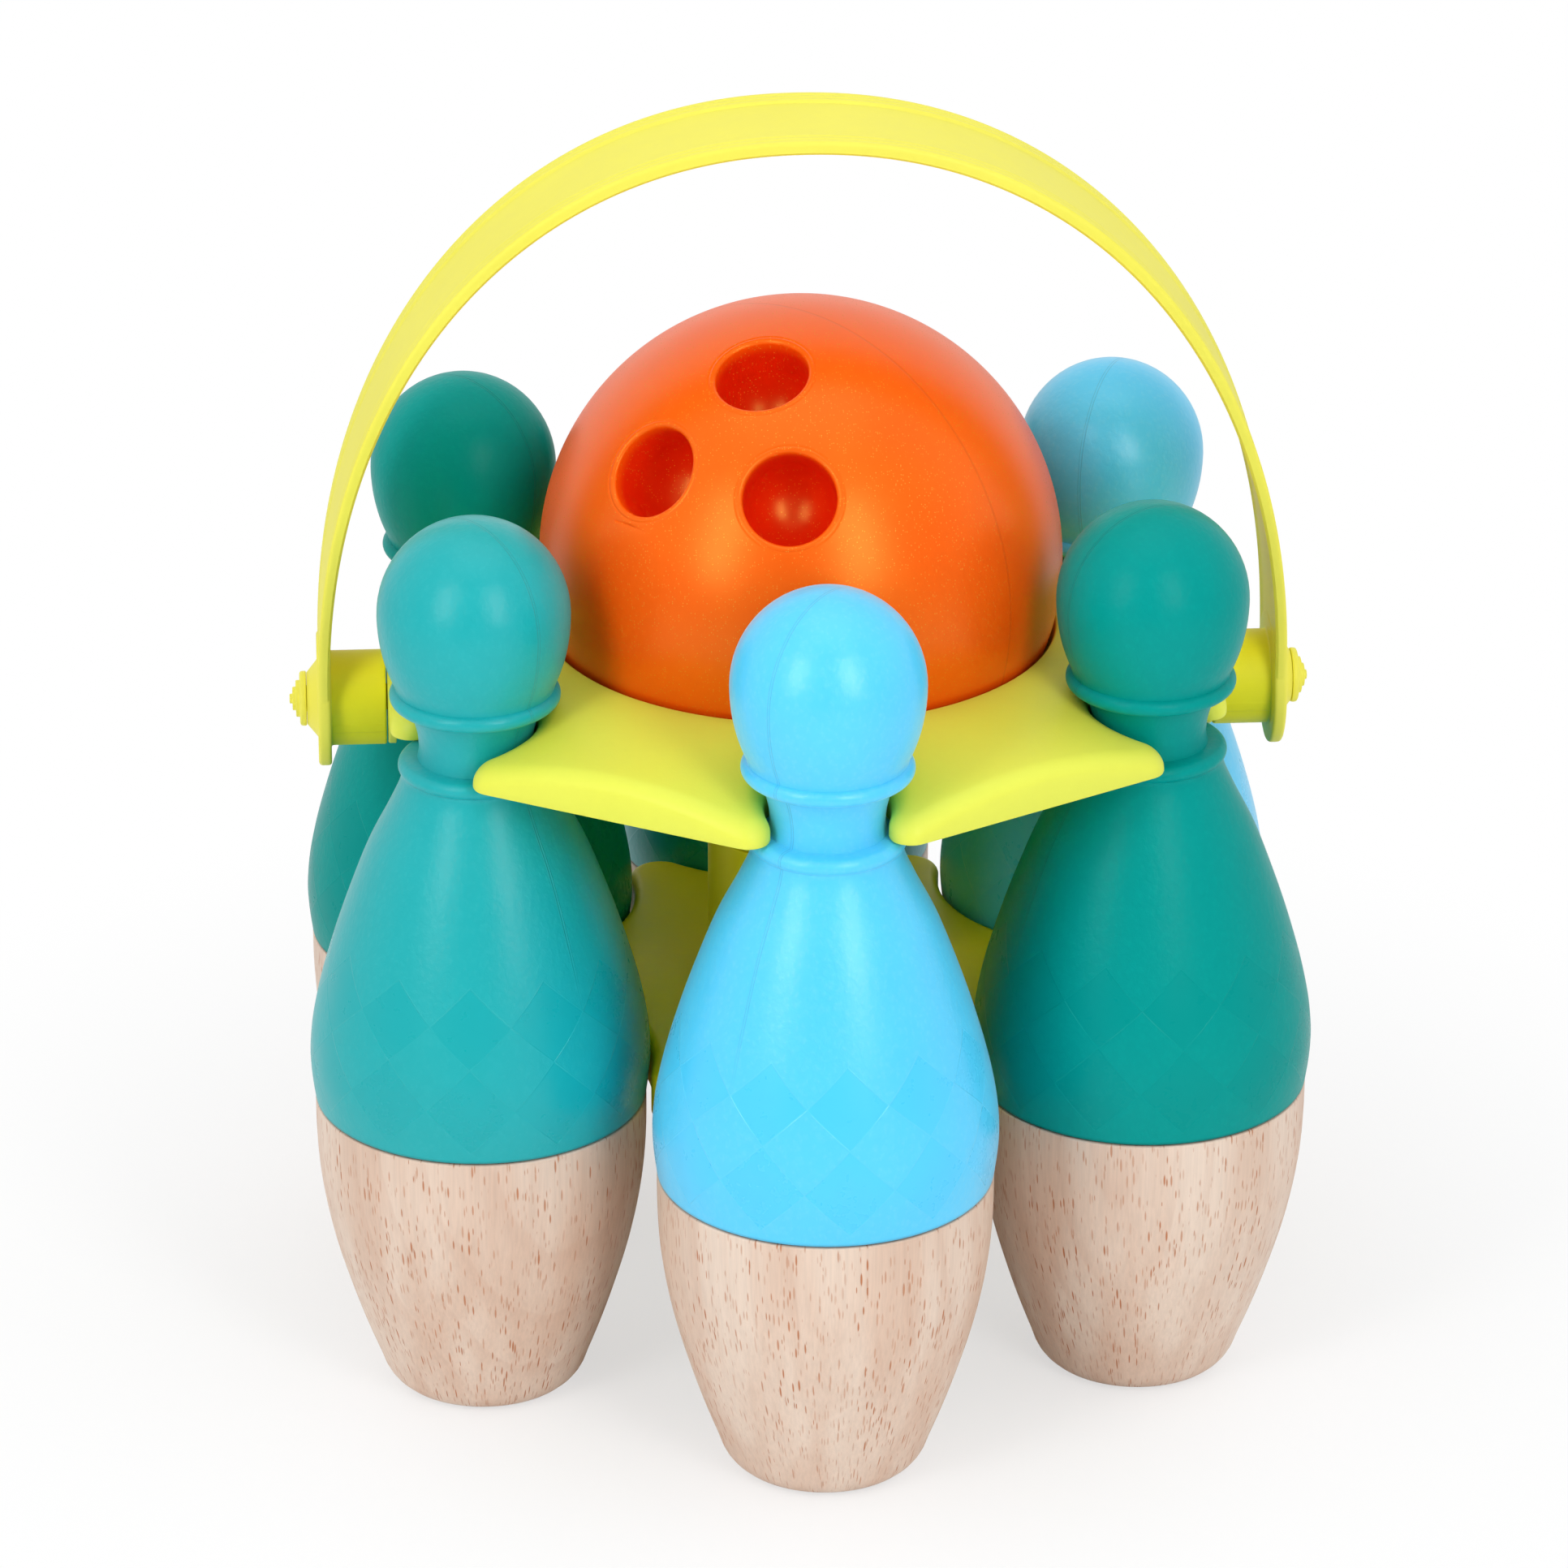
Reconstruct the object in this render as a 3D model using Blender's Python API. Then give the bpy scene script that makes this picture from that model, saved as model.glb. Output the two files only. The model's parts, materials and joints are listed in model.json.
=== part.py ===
"""Toy bowling set: six pins and a ball in a carrying tray with a swinging handle.

Metres, +Z up. The origin is on the floor, on the carrier's axis. The first pin stands on -Y
and the handle turns about a line along X.
"""

from math import acos, asin, atan2, cos, dist, hypot, pi, radians, sin, sqrt

import bmesh
import bpy
from mathutils import Matrix, Vector

# Gaps and tolerances
FIT_GAP = 0.0003
MERGE = 0.000001
CUT_OVERRUN = 0.001

# Where the pins stand
PIN_COUNT = 6
FIRST_PIN_ANGLE = radians(-90)
PIN_STEP = 2 * pi / PIN_COUNT
# Room between the ball and a pin's head, and between the widest rings of two neighbours
BALL_TO_HEAD = 0.00635
PIN_GAP = 0.01035

# Pin, from the floor up: each rise is measured from the level named before it
PIN_STEPS = 16
SPLIT_HEIGHT = 0.0750
FOOT_RADIUS = 0.0235
FOOT_ROUND = 0.0055
FOOT_RISE = 0.0035
WOOD_ROUND = 0.0008
SHELL_WALL = 0.0020
SPIGOT_HEIGHT = 0.0110
SPIGOT_CHAMFER = 0.0010
BELLY_STEP = 0.0010
BELLY_RISE = 0.0110
BEAD_RADIUS = 0.0020
LOWER_BEAD_RISE = 0.0737
LOWER_BEAD_REACH = 0.0181
UPPER_BEAD_RISE = 0.0176
UPPER_BEAD_REACH = 0.0198
NECK_RADIUS = 0.0132
HEAD_RADIUS = 0.0223
HEAD_RISE = 0.0200
CROWN_RISE = 0.0227

# Shares of the wood's height and of the step from its foot radius to its top radius
WOOD_SHARES = ((0.14, 0.185), (0.347, 0.526), (0.56, 0.800), (0.78, 0.965))
# Shares of the height from belly to lower bead and of the step from bead to belly radius
BODY_SHARES = ((0.22, 0.900), (0.44, 0.700), (0.66, 0.448), (0.86, 0.155))
# Shares of the height between the beads and of the step from neck to lower bead radius
NECK_SHARES = ((0.0, 0.06), (0.25, 0.0), (0.60, 0.20), (0.85, 0.45))
BEAD_ANGLES = (radians(-60), radians(5), radians(70))
BEAD_ROOT_SHARE = 0.65
# Share of the jaw's full ellipse that shows between the upper bead and the head's widest ring
JAW_SHARE = 0.585

# Ball
BALL_RADIUS = 0.0617
BALL_WALL = 0.0025
BALL_CLEARANCE = 0.0009
BALL_STEPS = 32
CAVITY_STEPS = 20
FINGER_RADIUS = 0.0108
FINGER_LIP = 0.0010
FINGER_DEPTH = 0.0210
FINGER_STEPS = 14
# Azimuth and elevation of each finger hole, seen from the ball's centre
FINGER_ANGLES = ((radians(-115), radians(65)), (radians(-138), radians(36)), (radians(-97), radians(35)))
VENT_RADIUS = 0.0015

# Tray
TRAY_WALL = 0.0022
SKIRT_DEPTH = 0.0080
RIM_RISE = 0.0047
FLARE_LENGTH = 0.0360
SEAT_DROP = 0.0161
NOTCH_CLEARANCE = 0.0017
MOUTH_CLEARANCE = 0.0008
HORN_RADIUS = 0.0050
ROLL_SHARE = 0.8
# Shares of the way from the cup's rim to the notches where the flare has rings
FLARE_SHARES = (0.38, 0.85)
# Shares of an edge roll's radius where its rings lie, from the top in
EDGE_SHARES = (1.0, 0.3, 0.0)
CUP_STEPS = 36
BOSS_DEPTH = 0.0041

# Lower plate and its column, whose flange carries the plate
PLATE_DROP = 0.0020
PLATE_DEPTH = 0.0120
PLATE_WALL = 0.0022
PLATE_ROLL = 0.0025
PLATE_CLEARANCE = 0.0016
TIP_RADIUS = 0.0060
COLUMN_RADIUS = 0.0220
COLUMN_WALL = 0.0025
COLUMN_WEB = 0.0030
FLANGE_REACH = 0.0030
FLANGE_THICKNESS = 0.0020

# Screws that hold the column to the tray
SCREW_COUNT = 3
SCREW_CIRCLE_RADIUS = 0.0105
SCREW_RADIUS = 0.0015
SCREW_BITE = 0.0050
SCREW_HEAD_RADIUS = 0.0030
SCREW_HEAD_HEIGHT = 0.0020
SCREW_DOME_SHARE = 0.7
SCREW_RIM_SHARE = 0.6
SCREW_STEPS = 12

# Handle and its pivots
PIVOT_DROP = 0.0050
LUG_RADIUS = 0.0111
LUG_THICKNESS = 0.0020
LUG_PROUD = 0.0002
SOCKET_RADIUS = 0.0060
SOCKET_LENGTH = 0.0090
PIVOT_RADIUS = 0.0031
PIVOT_CLEARANCE = 0.0003
HUB_RADIUS = 0.01125
HUB_LENGTH = 0.0131
EAR_RADIUS = 0.0160
EAR_THICKNESS = 0.0031
CONE_RADIUS = 0.0092
CONE_TIP_RADIUS = 0.0061
CONE_LENGTH = 0.0023
HAND_ROOM = 0.0463
ARCH_STRAIGHT = 0.0064
ARCH_POWER = 2.13
ARCH_STATIONS = 38
STRIP_THICKNESS = 0.0025
STRIP_HALF_WIDTH = 0.0175
STRIP_FOOT_SHARE = 0.28
RIB_WIDTH = 0.0060
RIB_DEPTH = 0.0006
RIB_FADE_SHARE = 0.2
BUTTON_RADIUS = 0.0065
BUTTON_THICKNESS = 0.0016
# Radius of each step of the button's crown as a share of the button, and each step's height as
# a share of the button's thickness
CROWN_SHARES = ((0.67, 0.58), (0.43, 0.50), (0.18, 0.42))
PIVOT_STEPS = 20

# Sizes and places worked out from the sizes above
PIN_CIRCLE_RADIUS = BALL_RADIUS + BALL_TO_HEAD + HEAD_RADIUS
BELLY_RADIUS = PIN_CIRCLE_RADIUS * sin(PIN_STEP / 2) - PIN_GAP / 2
WOOD_RADIUS = BELLY_RADIUS - BELLY_STEP
BODY_START = SPLIT_HEIGHT + FIT_GAP
BELLY_HEIGHT = SPLIT_HEIGHT + BELLY_RISE
LOWER_BEAD_HEIGHT = BELLY_HEIGHT + LOWER_BEAD_RISE
UPPER_BEAD_HEIGHT = LOWER_BEAD_HEIGHT + UPPER_BEAD_RISE
HEAD_HEIGHT = UPPER_BEAD_HEIGHT + HEAD_RISE
PIN_HEIGHT = HEAD_HEIGHT + CROWN_RISE
NECK_START = LOWER_BEAD_HEIGHT + BEAD_RADIUS
SPIGOT_RADIUS = WOOD_RADIUS - SHELL_WALL - FIT_GAP
TRAY_BOTTOM = NECK_START + FIT_GAP
TRAY_EDGE_TOP = TRAY_BOTTOM + SKIRT_DEPTH
RIM_HEIGHT = TRAY_EDGE_TOP + RIM_RISE
BALL_CENTRE = Vector((0, 0, RIM_HEIGHT + SEAT_DROP))
CUP_RADIUS = BALL_RADIUS + BALL_CLEARANCE
CUP_OUTER_RADIUS = CUP_RADIUS + TRAY_WALL
RIM_RADIUS = sqrt(CUP_RADIUS**2 - SEAT_DROP**2)
FLANGE_RADIUS = RIM_RADIUS + TRAY_WALL
BOSS_BOTTOM = BALL_CENTRE.z - CUP_OUTER_RADIUS - BOSS_DEPTH
COLUMN_TOP = BOSS_BOTTOM - FIT_GAP
NOTCH_RADIUS = NECK_RADIUS + NOTCH_CLEARANCE
HORN_ACROSS = NECK_RADIUS + MOUTH_CLEARANCE + HORN_RADIUS
HORN_OUT = sqrt((NOTCH_RADIUS + HORN_RADIUS) ** 2 - HORN_ACROSS**2)
TRAY_ROLL = HORN_RADIUS * ROLL_SHARE
TRAY_APOTHEM = (
    (PIN_CIRCLE_RADIUS + HORN_OUT) * cos(PIN_STEP / 2) + HORN_ACROSS * sin(PIN_STEP / 2) + HORN_RADIUS
)
PLATE_NOTCH_RADIUS = BELLY_RADIUS + PLATE_CLEARANCE
PLATE_TOP = BELLY_HEIGHT - PLATE_DROP
PLATE_UNDER = PLATE_TOP - PLATE_WALL
PLATE_BOTTOM = PLATE_TOP - PLATE_DEPTH
LUG_FACE = TRAY_APOTHEM + LUG_PROUD
HUB_START = LUG_FACE + FIT_GAP
EAR_FACE = HUB_START + HUB_LENGTH
EAR_MIDDLE = EAR_FACE + EAR_THICKNESS / 2
CONE_START = EAR_FACE + EAR_THICKNESS
CONE_END = CONE_START + CONE_LENGTH
BUTTON_FACE = CONE_END + FIT_GAP
PIVOT_BORE_RADIUS = PIVOT_RADIUS + PIVOT_CLEARANCE
PIVOT = Vector((0, 0, TRAY_BOTTOM - PIVOT_DROP))
ARCH_RISE = BALL_CENTRE.z + BALL_RADIUS + HAND_ROOM - PIVOT.z


def clear_scene():
    """Removes every object that the file opened with."""
    for obj in list(bpy.data.objects):
        bpy.data.objects.remove(obj)


def finish(name, colour, roughness, metallic=0.0):
    """A plain material: colour is linear red, green and blue."""
    made = bpy.data.materials.new(name)
    made.use_nodes = True
    shader = made.node_tree.nodes["Principled BSDF"]
    shader.inputs["Base Color"].default_value = (*colour, 1)
    shader.inputs["Roughness"].default_value = roughness
    shader.inputs["Metallic"].default_value = metallic
    return made


def add_object(name, bm, material=None, matrix=None):
    """Turns a bmesh into an object of the scene, with its faces pointing out."""
    bmesh.ops.remove_doubles(bm, verts=bm.verts, dist=MERGE)
    bmesh.ops.recalc_face_normals(bm, faces=bm.faces)
    mesh = bpy.data.meshes.new(name)
    bm.to_mesh(mesh)
    bm.free()
    mesh.shade_smooth()
    mesh.set_sharp_from_angle(angle=radians(35))
    obj = bpy.data.objects.new(name, mesh)
    if material:
        mesh.materials.append(material)
    if matrix:
        obj.matrix_world = matrix
    bpy.context.scene.collection.objects.link(obj)
    return obj


def as_cutter(obj):
    """Marks an object as a tool that isn't part of the set."""
    obj.hide_render = True
    obj.display_type = "WIRE"
    return obj


def combine(obj, other, operation):
    """Adds a Boolean of another object."""
    modifier = obj.modifiers.new(f"{operation.lower()} {other.name}", "BOOLEAN")
    modifier.operation = operation
    modifier.solver = "EXACT"
    modifier.object = other


def turned(profile, steps, closed=False):
    """Spins (radius, height) points about Z, with the last joined to the first if closed."""
    bm = bmesh.new()
    verts = [bm.verts.new((radius, 0, height)) for radius, height in profile]
    pairs = list(zip(verts, verts[1:]))
    if closed:
        pairs.append((verts[-1], verts[0]))
    edges = [bm.edges.new(pair) for pair in pairs]
    bmesh.ops.spin(
        bm,
        geom=verts + edges,
        cent=(0, 0, 0),
        axis=(0, 0, 1),
        angle=2 * pi,
        steps=steps,
        use_merge=True,
    )
    return bm


def arc(centre, radii, start, end, steps):
    """(radius, height) points along an elliptical arc, from start to end angle."""
    return [
        (
            centre[0] + radii[0] * cos(start + (end - start) * step / steps),
            centre[1] + radii[1] * sin(start + (end - start) * step / steps),
        )
        for step in range(steps + 1)
    ]


def pin_matrix(index):
    """Where a pin stands: on the pin circle, its +X pointing out."""
    return Matrix.Rotation(FIRST_PIN_ANGLE + index * PIN_STEP, 4, "Z") @ Matrix.Translation(
        (PIN_CIRCLE_RADIUS, 0, 0)
    )


def wood_profile():
    """Outline of a pin's wooden base, from the foot's centre up to the spigot's centre."""
    foot = arc((FOOT_RADIUS - FOOT_ROUND, FOOT_RISE), (FOOT_ROUND, FOOT_RISE), radians(-90), 0, 2)
    side = [
        (FOOT_RADIUS + (WOOD_RADIUS - FOOT_RADIUS) * across, SPLIT_HEIGHT * up)
        for up, across in WOOD_SHARES
    ]
    shoulder = [(WOOD_RADIUS, SPLIT_HEIGHT - WOOD_ROUND), (WOOD_RADIUS - WOOD_ROUND, SPLIT_HEIGHT)]
    top = SPLIT_HEIGHT + SPIGOT_HEIGHT
    spigot = [
        (SPIGOT_RADIUS, SPLIT_HEIGHT),
        (SPIGOT_RADIUS, top - SPIGOT_CHAMFER),
        (SPIGOT_RADIUS - SPIGOT_CHAMFER, top),
        (0, top),
    ]
    return [(0, 0)] + foot + side + shoulder + spigot


def bead(height, reach):
    """Outline of a bead ring, from its lower edge to its upper one."""
    centre = reach - BEAD_RADIUS
    return [
        (centre + BEAD_RADIUS * cos(angle), height + BEAD_RADIUS * sin(angle))
        for angle in BEAD_ANGLES
    ]


def shell_profile():
    """Closed outline of a pin's plastic body, from its lower rim to its neck."""
    root = LOWER_BEAD_REACH - BEAD_RADIUS * BEAD_ROOT_SHARE
    body = [
        (root + (BELLY_RADIUS - root) * across, BELLY_HEIGHT + LOWER_BEAD_RISE * up)
        for up, across in BODY_SHARES
    ]
    outside = [(WOOD_RADIUS, BODY_START), (BELLY_RADIUS, BELLY_HEIGHT)] + body
    throat = NECK_RADIUS - SHELL_WALL
    socket = WOOD_RADIUS - SHELL_WALL
    inside = [(throat, NECK_START), (throat, LOWER_BEAD_HEIGHT)]
    inside += [(radius - SHELL_WALL, height) for radius, height in reversed(body[:-1])]
    inside += [(socket, SPLIT_HEIGHT + SPIGOT_HEIGHT + FIT_GAP), (socket, BODY_START)]
    return outside + bead(LOWER_BEAD_HEIGHT, LOWER_BEAD_REACH) + neck()[:1] + inside


def neck():
    """Outline of a pin's neck between its beads."""
    rise = UPPER_BEAD_RISE - 2 * BEAD_RADIUS
    step = LOWER_BEAD_REACH - NECK_RADIUS
    return [(NECK_RADIUS + step * across, NECK_START + rise * up) for up, across in NECK_SHARES]


def head_profile():
    """Closed outline of a pin's hollow head and neck, which stands on the body."""
    start = NECK_START + FIT_GAP
    outside = [(neck()[0][0], start)] + neck()[1:] + bead(UPPER_BEAD_HEIGHT, UPPER_BEAD_REACH)
    drop = (HEAD_HEIGHT - outside[-1][1]) / JAW_SHARE
    outside += arc((0, HEAD_HEIGHT), (HEAD_RADIUS, drop), -asin(JAW_SHARE), 0, 3)[1:]
    outside += arc((0, HEAD_HEIGHT), (HEAD_RADIUS, CROWN_RISE), 0, radians(90), 4)[1:-1]
    radius = HEAD_RADIUS - SHELL_WALL
    inside = arc((0, HEAD_HEIGHT), (radius, CROWN_RISE - SHELL_WALL), radians(90), 0, 3)[1:]
    throat = NECK_RADIUS - SHELL_WALL
    inside += [(throat, UPPER_BEAD_HEIGHT), (throat, start)]
    return outside + [(0, PIN_HEIGHT), (0, PIN_HEIGHT - SHELL_WALL)] + inside


def build_pins(shell_finishes, wood):
    """Six pins, each a plastic body and head over the spigot of a wooden base."""
    for index in range(PIN_COUNT):
        place = pin_matrix(index)
        shell = turned(shell_profile(), PIN_STEPS, closed=True)
        head = turned(head_profile(), PIN_STEPS, closed=True)
        add_object(f"pin_{index + 1}_shell", shell, shell_finishes[index], place)
        add_object(f"pin_{index + 1}_head", head, shell_finishes[index], place)
        add_object(f"pin_{index + 1}_base", turned(wood_profile(), PIN_STEPS), wood, place)


def ball_mesh(radius, steps):
    """A sphere about the origin with half as many rings as steps."""
    bm = bmesh.new()
    bmesh.ops.create_uvsphere(bm, u_segments=steps, v_segments=steps // 2, radius=radius)
    return bm


def finger_profile(radius, depth, lip):
    """Outline of a finger hole's plug along +Z, which ends in a half sphere at its lower end."""
    mouth = sqrt(BALL_RADIUS**2 - (radius + lip) ** 2)
    top = BALL_RADIUS + lip
    bottom = BALL_RADIUS - depth
    end = arc((0, bottom + radius), (radius, radius), radians(-90), 0, 4)
    rim = [(radius, mouth - lip), (radius + lip, mouth), (radius + lip, top), (0, top)]
    return [(0, bottom)] + end[1:] + rim


def build_ball(orange):
    """The hollow ball: three finger cups and a vent under it."""
    place = Matrix.Translation(BALL_CENTRE)
    hollow = ball_mesh(BALL_RADIUS - BALL_WALL, CAVITY_STEPS)
    cavity = as_cutter(add_object("ball_cavity", hollow, None, place))
    ball = add_object("ball", ball_mesh(BALL_RADIUS, BALL_STEPS), orange, place)
    plugs = []
    for number, (azimuth, elevation) in enumerate(FINGER_ANGLES, 1):
        tilt = place @ Matrix.Rotation(azimuth, 4, "Z") @ Matrix.Rotation(radians(90) - elevation, 4, "Y")
        cup = finger_profile(FINGER_RADIUS + BALL_WALL, FINGER_DEPTH + BALL_WALL, 0)
        hole = finger_profile(FINGER_RADIUS, FINGER_DEPTH, FINGER_LIP)
        cup = add_object(f"finger_cup_{number}", turned(cup, FINGER_STEPS), None, tilt)
        plug = add_object(f"finger_hole_{number}", turned(hole, FINGER_STEPS), None, tilt)
        combine(cavity, as_cutter(cup), "DIFFERENCE")
        plugs.append(as_cutter(plug))
    combine(ball, cavity, "DIFFERENCE")
    for plug in plugs:
        combine(ball, plug, "DIFFERENCE")
    low = -BALL_RADIUS - BALL_WALL
    high = 2 * BALL_WALL - BALL_RADIUS
    vent = turned([(0, low), (VENT_RADIUS, low), (VENT_RADIUS, high), (0, high)], SCREW_STEPS)
    combine(ball, as_cutter(add_object("ball_vent", vent, None, place)), "DIFFERENCE")


def outline(arcs, inset):
    """Points of a closed outline of arcs, moved in by inset.

    Each arc is (centre, radius, start, end, steps, hollow): hollow arcs grow as others shrink.
    """
    points = []
    for centre, radius, start, end, steps, hollow in arcs:
        size = radius + inset if hollow else radius - inset
        for step in range(steps + 1):
            angle = start + (end - start) * step / steps
            point = (centre.x + size * cos(angle), centre.y + size * sin(angle))
            if not points or dist(point, points[-1]) > MERGE:
                points.append(point)
    return points if dist(points[0], points[-1]) > MERGE else points[:-1]


def tray_arcs():
    """The tray's plan: straight sides, and at each pin a round notch between two horns."""
    arcs = []
    reach = atan2(HORN_ACROSS, HORN_OUT)
    for index in range(PIN_COUNT):
        turn = FIRST_PIN_ANGLE + index * PIN_STEP
        spin = Matrix.Rotation(turn, 3, "Z")
        before = spin @ Vector((PIN_CIRCLE_RADIUS + HORN_OUT, -HORN_ACROSS, 0))
        after = spin @ Vector((PIN_CIRCLE_RADIUS + HORN_OUT, HORN_ACROSS, 0))
        pin = spin @ Vector((PIN_CIRCLE_RADIUS, 0, 0))
        side = PIN_STEP / 2
        arcs.append((before, HORN_RADIUS, turn - side, turn + pi - reach, 3, False))
        arcs.append((pin, NOTCH_RADIUS, turn - reach, turn + reach - 2 * pi, 8, True))
        arcs.append((after, HORN_RADIUS, turn + reach - pi, turn + side, 3, False))
    return arcs


def plate_arcs():
    """The lower plate's plan: a hollow round each pin and a rounded tip between two pins."""
    arcs = []
    half_gap = PIN_CIRCLE_RADIUS * sin(PIN_STEP / 2)
    reach = PLATE_NOTCH_RADIUS + TIP_RADIUS
    tip_out = PIN_CIRCLE_RADIUS * cos(PIN_STEP / 2) - sqrt(reach**2 - half_gap**2)
    opening = PIN_STEP / 2 + asin(half_gap / reach) - radians(90)
    lean = acos(half_gap / reach)
    for index in range(PIN_COUNT):
        turn = FIRST_PIN_ANGLE + index * PIN_STEP
        middle = turn + PIN_STEP / 2
        pin = Matrix.Rotation(turn, 3, "Z") @ Vector((PIN_CIRCLE_RADIUS, 0, 0))
        tip = Matrix.Rotation(middle, 3, "Z") @ Vector((tip_out, 0, 0))
        spread = pi / 2 - PIN_STEP / 2 - lean
        arcs.append((pin, PLATE_NOTCH_RADIUS, turn + pi + spread, turn + pi - spread, 8, True))
        half_turn = pi / 2 - lean
        arcs.append((tip, TIP_RADIUS, middle - half_turn, middle + half_turn, 4, False))
    return arcs


def ring(bm, points):
    """New vertices for a closed ring of (x, y, z) points."""
    return [bm.verts.new(point) for point in points]


def circle(bm, radius, height, steps=CUP_STEPS):
    """A level ring about the Z axis."""
    angles = [2 * pi * step / steps for step in range(steps)]
    return ring(bm, [(radius * cos(angle), radius * sin(angle), height) for angle in angles])


def pairs_of(verts):
    """Neighbours along a closed ring."""
    return list(zip(verts, verts[1:] + verts[:1]))


def bridge(bm, first, second):
    """Joins two rings of as many vertices with a band of quads."""
    for (a, b), (c, d) in zip(pairs_of(first), pairs_of(second)):
        bm.faces.new((a, b, d, c))


def cap(bm, verts, height):
    """Closes a ring about the Z axis with triangles to one point on it."""
    top = bm.verts.new((0, 0, height))
    for a, b in pairs_of(verts):
        bm.faces.new((a, b, top))


def fill_between(bm, first, second):
    """Fills the region between two rings that have unlike numbers of vertices."""
    edges = []
    for pair in pairs_of(first) + pairs_of(second):
        edges.append(bm.edges.get(pair) or bm.edges.new(pair))
    bmesh.ops.triangle_fill(bm, use_beauty=True, edges=edges, normal=(0, 0, 1))


def bands(bm, rings):
    """Bridges each ring to the next."""
    for first, second in zip(rings, rings[1:]):
        bridge(bm, first, second)


def rolled_edge(bm, arcs, radius, top):
    """Rings round the edge of a plan whose upper edge is rounded, from the top down."""
    rings = []
    for share in EDGE_SHARES:
        drop = radius - radius * sqrt(1 - (1 - share) ** 2)
        points = outline(arcs, radius * share)
        rings.append(ring(bm, [(x, y, top(x, y) - drop) for x, y in points]))
    return rings


def tray_top(x, y):
    """Height of the tray's upper surface before its edge is rounded."""
    share = max(0, 1 - (hypot(x, y) - RIM_RADIUS) / FLARE_LENGTH)
    return TRAY_EDGE_TOP + RIM_RISE * share**2


def sphere_rings(bm, radius, start, end, steps):
    """Level rings on a sphere about the ball's centre, between two angles below its middle."""
    angles = [start + (end - start) * step / steps for step in range(steps + 1)]
    return [circle(bm, radius * cos(angle), BALL_CENTRE.z - radius * sin(angle)) for angle in angles]


def tray_body():
    """The tray as one closed wall: flared top, rounded edge, skirt and underside."""
    bm = bmesh.new()
    arcs = tray_arcs()
    flat = PIN_CIRCLE_RADIUS - NOTCH_RADIUS - TRAY_ROLL - RIM_RADIUS
    flare = [FLANGE_RADIUS + FIT_GAP] + [RIM_RADIUS + flat * share for share in FLARE_SHARES]
    tops = [circle(bm, radius, tray_top(radius, 0)) for radius in flare]
    bands(bm, tops)

    edge = rolled_edge(bm, arcs, TRAY_ROLL, tray_top)
    fill_between(bm, tops[-1], edge[0])
    edge.append(ring(bm, [(x, y, TRAY_BOTTOM) for x, y in outline(arcs, 0)]))
    edge.append(ring(bm, [(x, y, TRAY_BOTTOM) for x, y in outline(arcs, TRAY_WALL)]))
    corner = [(x, y, tray_top(x, y) - 2 * TRAY_WALL) for x, y in outline(arcs, TRAY_WALL)]
    edge.append(ring(bm, corner))
    bands(bm, edge)

    under = [circle(bm, radius, tray_top(radius, 0) - TRAY_WALL) for radius in (flare[2], flare[0])]
    fill_between(bm, edge[-1], under[0])
    bands(bm, under + tops[:1])
    return bm


def cup_body():
    """The ball's cup as one closed wall, with a boss under it for the column."""
    bm = bmesh.new()
    inside = sphere_rings(bm, CUP_RADIUS, radians(80), asin(SEAT_DROP / CUP_RADIUS), 5)
    cap(bm, inside[0], BALL_CENTRE.z - CUP_RADIUS)
    lip = circle(bm, FLANGE_RADIUS, tray_top(FLANGE_RADIUS, 0))
    meet = asin((SEAT_DROP + TRAY_WALL) / CUP_OUTER_RADIUS)
    boss = acos(COLUMN_RADIUS / CUP_OUTER_RADIUS)
    outside = sphere_rings(bm, CUP_OUTER_RADIUS, meet, boss, 4)
    foot = circle(bm, COLUMN_RADIUS, BOSS_BOTTOM)
    bands(bm, inside + [lip] + outside + [foot])
    cap(bm, foot, BOSS_BOTTOM)
    return bm


def screw_places():
    """Centres of the screws on their circle."""
    angles = [2 * pi * index / SCREW_COUNT for index in range(SCREW_COUNT)]
    return [(SCREW_CIRCLE_RADIUS * cos(angle), SCREW_CIRCLE_RADIUS * sin(angle)) for angle in angles]


def screw_holes(name, bottom, top):
    """Cutter for all screw holes between two heights."""
    bm = bmesh.new()
    for x, y in screw_places():
        bmesh.ops.create_cone(
            bm,
            cap_ends=True,
            segments=SCREW_STEPS,
            radius1=SCREW_RADIUS + FIT_GAP,
            radius2=SCREW_RADIUS + FIT_GAP,
            depth=top - bottom,
            matrix=Matrix.Translation((x, y, (top + bottom) / 2)),
        )
    return as_cutter(add_object(name, bm))


def along_x(side):
    """Stands a piece turned about Z along the handle's pivot line, out to one side."""
    return Matrix.Translation(PIVOT) @ Matrix.Rotation(radians(90) * side, 4, "Y")


def build_tray(lime):
    """The cup with its screw holes, and the tray with the lugs for the handle's pivots."""
    cup = add_object("cup", cup_body(), lime)
    top = BOSS_BOTTOM + SCREW_BITE + FIT_GAP
    combine(cup, screw_holes("cup_screw_holes", BOSS_BOTTOM - CUT_OVERRUN, top), "DIFFERENCE")
    tray = add_object("tray", tray_body(), lime)
    back = LUG_FACE - LUG_THICKNESS
    profile = [
        (PIVOT_BORE_RADIUS, LUG_FACE),
        (LUG_RADIUS, LUG_FACE),
        (LUG_RADIUS, back),
        (SOCKET_RADIUS, back),
        (SOCKET_RADIUS, back - SOCKET_LENGTH),
        (PIVOT_BORE_RADIUS, back - SOCKET_LENGTH),
    ]
    for name, side in (("left_lug", -1), ("right_lug", 1)):
        lug = add_object(name, turned(profile, PIVOT_STEPS, closed=True), None, along_x(side))
        combine(tray, as_cutter(lug), "UNION")


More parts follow.
